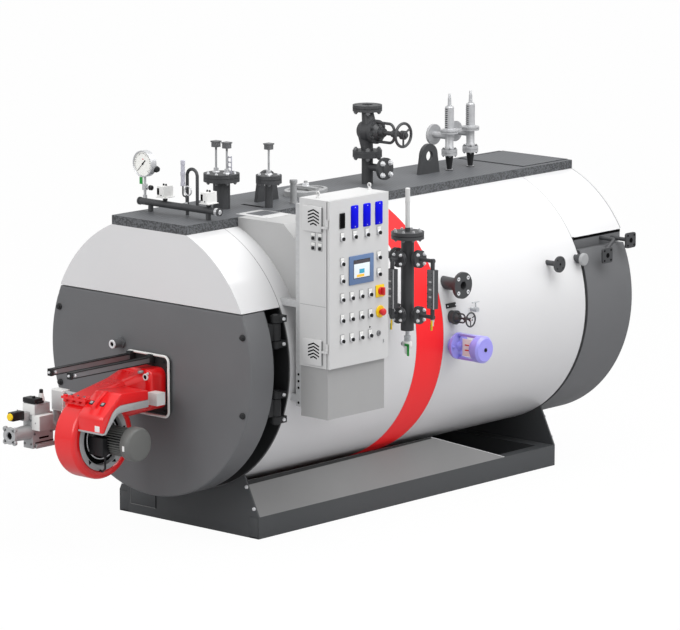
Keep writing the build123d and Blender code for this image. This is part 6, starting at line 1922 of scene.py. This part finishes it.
    def nozzle_details(self) -> None:
        """Spot faces on the open flange, plate holes and the pale cap at the rear."""
        piece = Piece("nozzle_details", "galvanised")
        for spot in circle(self.feed, Axis.RIGHT, self.feed_circle, 4):
            piece.turned(spot, Axis.RIGHT, ((5, 0), (5, 1.2), (13, 1.2), (13, 0)), ZINC, 24)
        for station, z in self.plates:
            # Painted shade: black discs in the plates' holes.
            piece.rod((self.plate_face, station, z), Axis.RIGHT, 16, 0.8, SHADE_AND_BLACK_GLASS, sides=28)
            for across in self.plate_holes:
                for rise in self.plate_holes:
                    piece.rod((self.plate_face, station + across, z + rise), Axis.RIGHT, 7, 0.8, SHADE_AND_BLACK_GLASS, sides=20)
        piece.turned(self.rear_cap, Axis.RIGHT, ((39, -14), (40, -14), (40, 2), (34, 7), (0, 9)), FITTING_GREY, 36)
        piece.done()

    def valve_details(self) -> None:
        """Tag plate, wheel nut and the parts of the blow-down valve."""
        piece = Piece("side_valve_details", "black_steel")
        x, station, z = self.tag
        piece.box((x - 6, x + 8), about(station, 43), about(z, 15), BLACK_STEEL, edge=2,
                  turn=Matrix.Rotation(-self.tag_tilt, 4, "Y"))
        for side in (-36, 36):
            piece.rod((x + 8, station + side, z), Axis.RIGHT, 4, 3, ZINC, edge=1, sides=12)
        z, wheel = self.drain_z, self.drain_wheel
        piece.bolts((self.drain_flange, station, z), Axis.RIGHT, 116, 4, 11, VIOLET, start=0.0)
        piece.box(self.scale_x, (station - 20, station - 16), self.scale_z, PALE_PLASTIC, edge=1)
        piece.rod((self.pointer_x, station - 4, z), Axis.FRONT, 7, 14, STAINLESS, edge=1, sides=16)
        for middle in about(z, 16):
            piece.box(self.mark_x, (station - 21.5, station - 19), about(middle, 4), RED_PLASTIC, edge=0.8)
        hub = ((12, 0), (12, 4), (9, 6), (5, 6), (5, 3), (0, 3))
        piece.turned((wheel + 6, station, z), Axis.RIGHT, hub, BLACK_PLASTIC, 28)
        piece.ring((wheel, station, z), Axis.RIGHT, 66, 3, VIOLET, 56)
        piece.done()
        nut = Piece("shutoff_wheel_nut", "galvanised", Body.SHUTOFF_WHEEL)
        nut.turned((self.wheel_nut[0], station, self.wheel_nut[1]), Axis.RIGHT,
                   ((6.5, 0), (11, 0), (11, 3), (6.5, 4)), ZINC, 24)
        nut.done()


@dataclass(frozen=True)
class Lamp:
    """Soft square lamp.

    Attributes:
        name: Object name.
        place: Place in metres.
        size: Edge in metres.
        power: Power in watts.
    """

    name: str
    place: Place
    size: float
    power: float


@dataclass
class Stage:
    """Floor, world, lamps and camera."""

    camera_place: Place = (17.8875, -19.7831, 6.0339)
    azimuth: float = 42.15
    elevation: float = 10.47
    lens: float = 228.9
    floor_half: float = 120.0
    floor_drop: float = 0.0005
    floor_grey: Tint = (0.52, 0.52, 0.53, 1.0)
    floor_pale: Tint = (0.8, 0.8, 0.8, 1.0)
    floor_white: float = 0.97
    sky_range: Limits = (-0.1, 0.9)
    sky_level: Limits = (0.62, 1.0)
    sky_strength: float = 0.95
    aim: Place = (0.0, 0.0, 1.1)
    lamps: tuple[Lamp, ...] = (Lamp("overhead", (2.5, 0.3, 5.6), 5.0, 246.0),
                               Lamp("side", (8.0, 1.5, 5.0), 4.0, 60.0),
                               Lamp("front", (-1.0, -8.0, 4.5), 4.0, 178.0))

    def build(self) -> None:
        """Set up everything round the object."""
        self.floor()
        self.world()
        for lamp in self.lamps:
            self.light(lamp)
        self.camera()

    def floor(self) -> None:
        """Pale floor, pure white to the camera and mid grey to other rays."""
        part = bmesh.new()
        bmesh.ops.create_grid(part, x_segments=1, y_segments=1, size=self.floor_half)
        bmesh.ops.translate(part, vec=(0.0, 0.0, -self.floor_drop), verts=part.verts)
        data = bpy.data.meshes.new("floor")
        part.to_mesh(data)
        part.free()
        material = bpy.data.materials.new("floor_pale")
        kit = fresh_kit(material)
        seen = kit.add("ShaderNodeLightPath").outputs["Is Camera Ray"]
        matt = kit.add("ShaderNodeBsdfDiffuse", {"Color": self.floor_grey})
        pale = kit.add("ShaderNodeBsdfDiffuse", {"Color": self.floor_pale})
        white = kit.add("ShaderNodeEmission", {"Color": PURE_WHITE, "Strength": 1.0})
        lit = kit.add("ShaderNodeMixShader", {0: self.floor_white, 1: pale.outputs[0], 2: white.outputs[0]})
        both = kit.add("ShaderNodeMixShader", {0: seen, 1: matt.outputs[0], 2: lit.outputs[0]})
        kit.add("ShaderNodeOutputMaterial", {"Surface": both.outputs[0]})
        data.materials.append(material)
        floor = link("floor", data)

    def world(self) -> None:
        """Soft sky: white to the camera, graded from bright above to grey below for the rest."""
        world = bpy.data.worlds.new("studio")
        bpy.context.scene.world = world
        kit = fresh_kit(world)
        direction = kit.add("ShaderNodeTexCoord").outputs["Generated"]
        height = kit.add("ShaderNodeSeparateXYZ", {0: direction}).outputs["Z"]
        level = kit.spread(height, *self.sky_range, *self.sky_level)
        colour = kit.mix(level, PURE_BLACK, PURE_WHITE)
        soft = kit.add("ShaderNodeBackground", {"Color": colour, "Strength": self.sky_strength})
        white = kit.add("ShaderNodeBackground", {"Color": PURE_WHITE, "Strength": 1.0})
        seen = kit.add("ShaderNodeLightPath").outputs["Is Camera Ray"]
        both = kit.add("ShaderNodeMixShader", {0: seen, 1: soft.outputs[0], 2: white.outputs[0]})
        kit.add("ShaderNodeOutputWorld", {"Surface": both.outputs[0]})

    def light(self, lamp: Lamp) -> None:
        """Hang a lamp, aimed at the boiler's middle.

        Args:
            lamp: Lamp to hang.
        """
        data = bpy.data.lights.new(lamp.name, "AREA")
        data.shape = "SQUARE"
        data.size = lamp.size
        data.energy = lamp.power
        item = link(lamp.name, data)
        item.location = lamp.place
        item.rotation_euler = (Vector(self.aim) - Vector(lamp.place)).to_track_quat("-Z", "Y").to_euler()

    def camera(self) -> None:
        """Camera at the photograph's viewpoint."""
        data = bpy.data.cameras.new("camera")
        data.lens = self.lens
        data.sensor_width = 36.0
        data.sensor_fit = "HORIZONTAL"
        data.clip_end = 400.0
        camera = link("camera", data)
        camera.location = self.camera_place
        camera.rotation_euler = (radians(90 - self.elevation), 0.0, radians(self.azimuth))
        bpy.context.scene.camera = camera


def main() -> None:
    """Build the scene in order."""
    logging.basicConfig(level=logging.INFO, format="%(message)s")
    bpy.context.scene.view_settings.view_transform = "Standard"
    dresses = (FrameDress, BaseDress, RearDress, WalkwayDress, DoorDress, MotorDress, CoverDress, BurnerDress,
               GasTrainDress, CabinetDress, CrownDress, SideDress, Stage)
    for dress in dresses:
        dress().build()


if __name__ == "__main__":
    main()
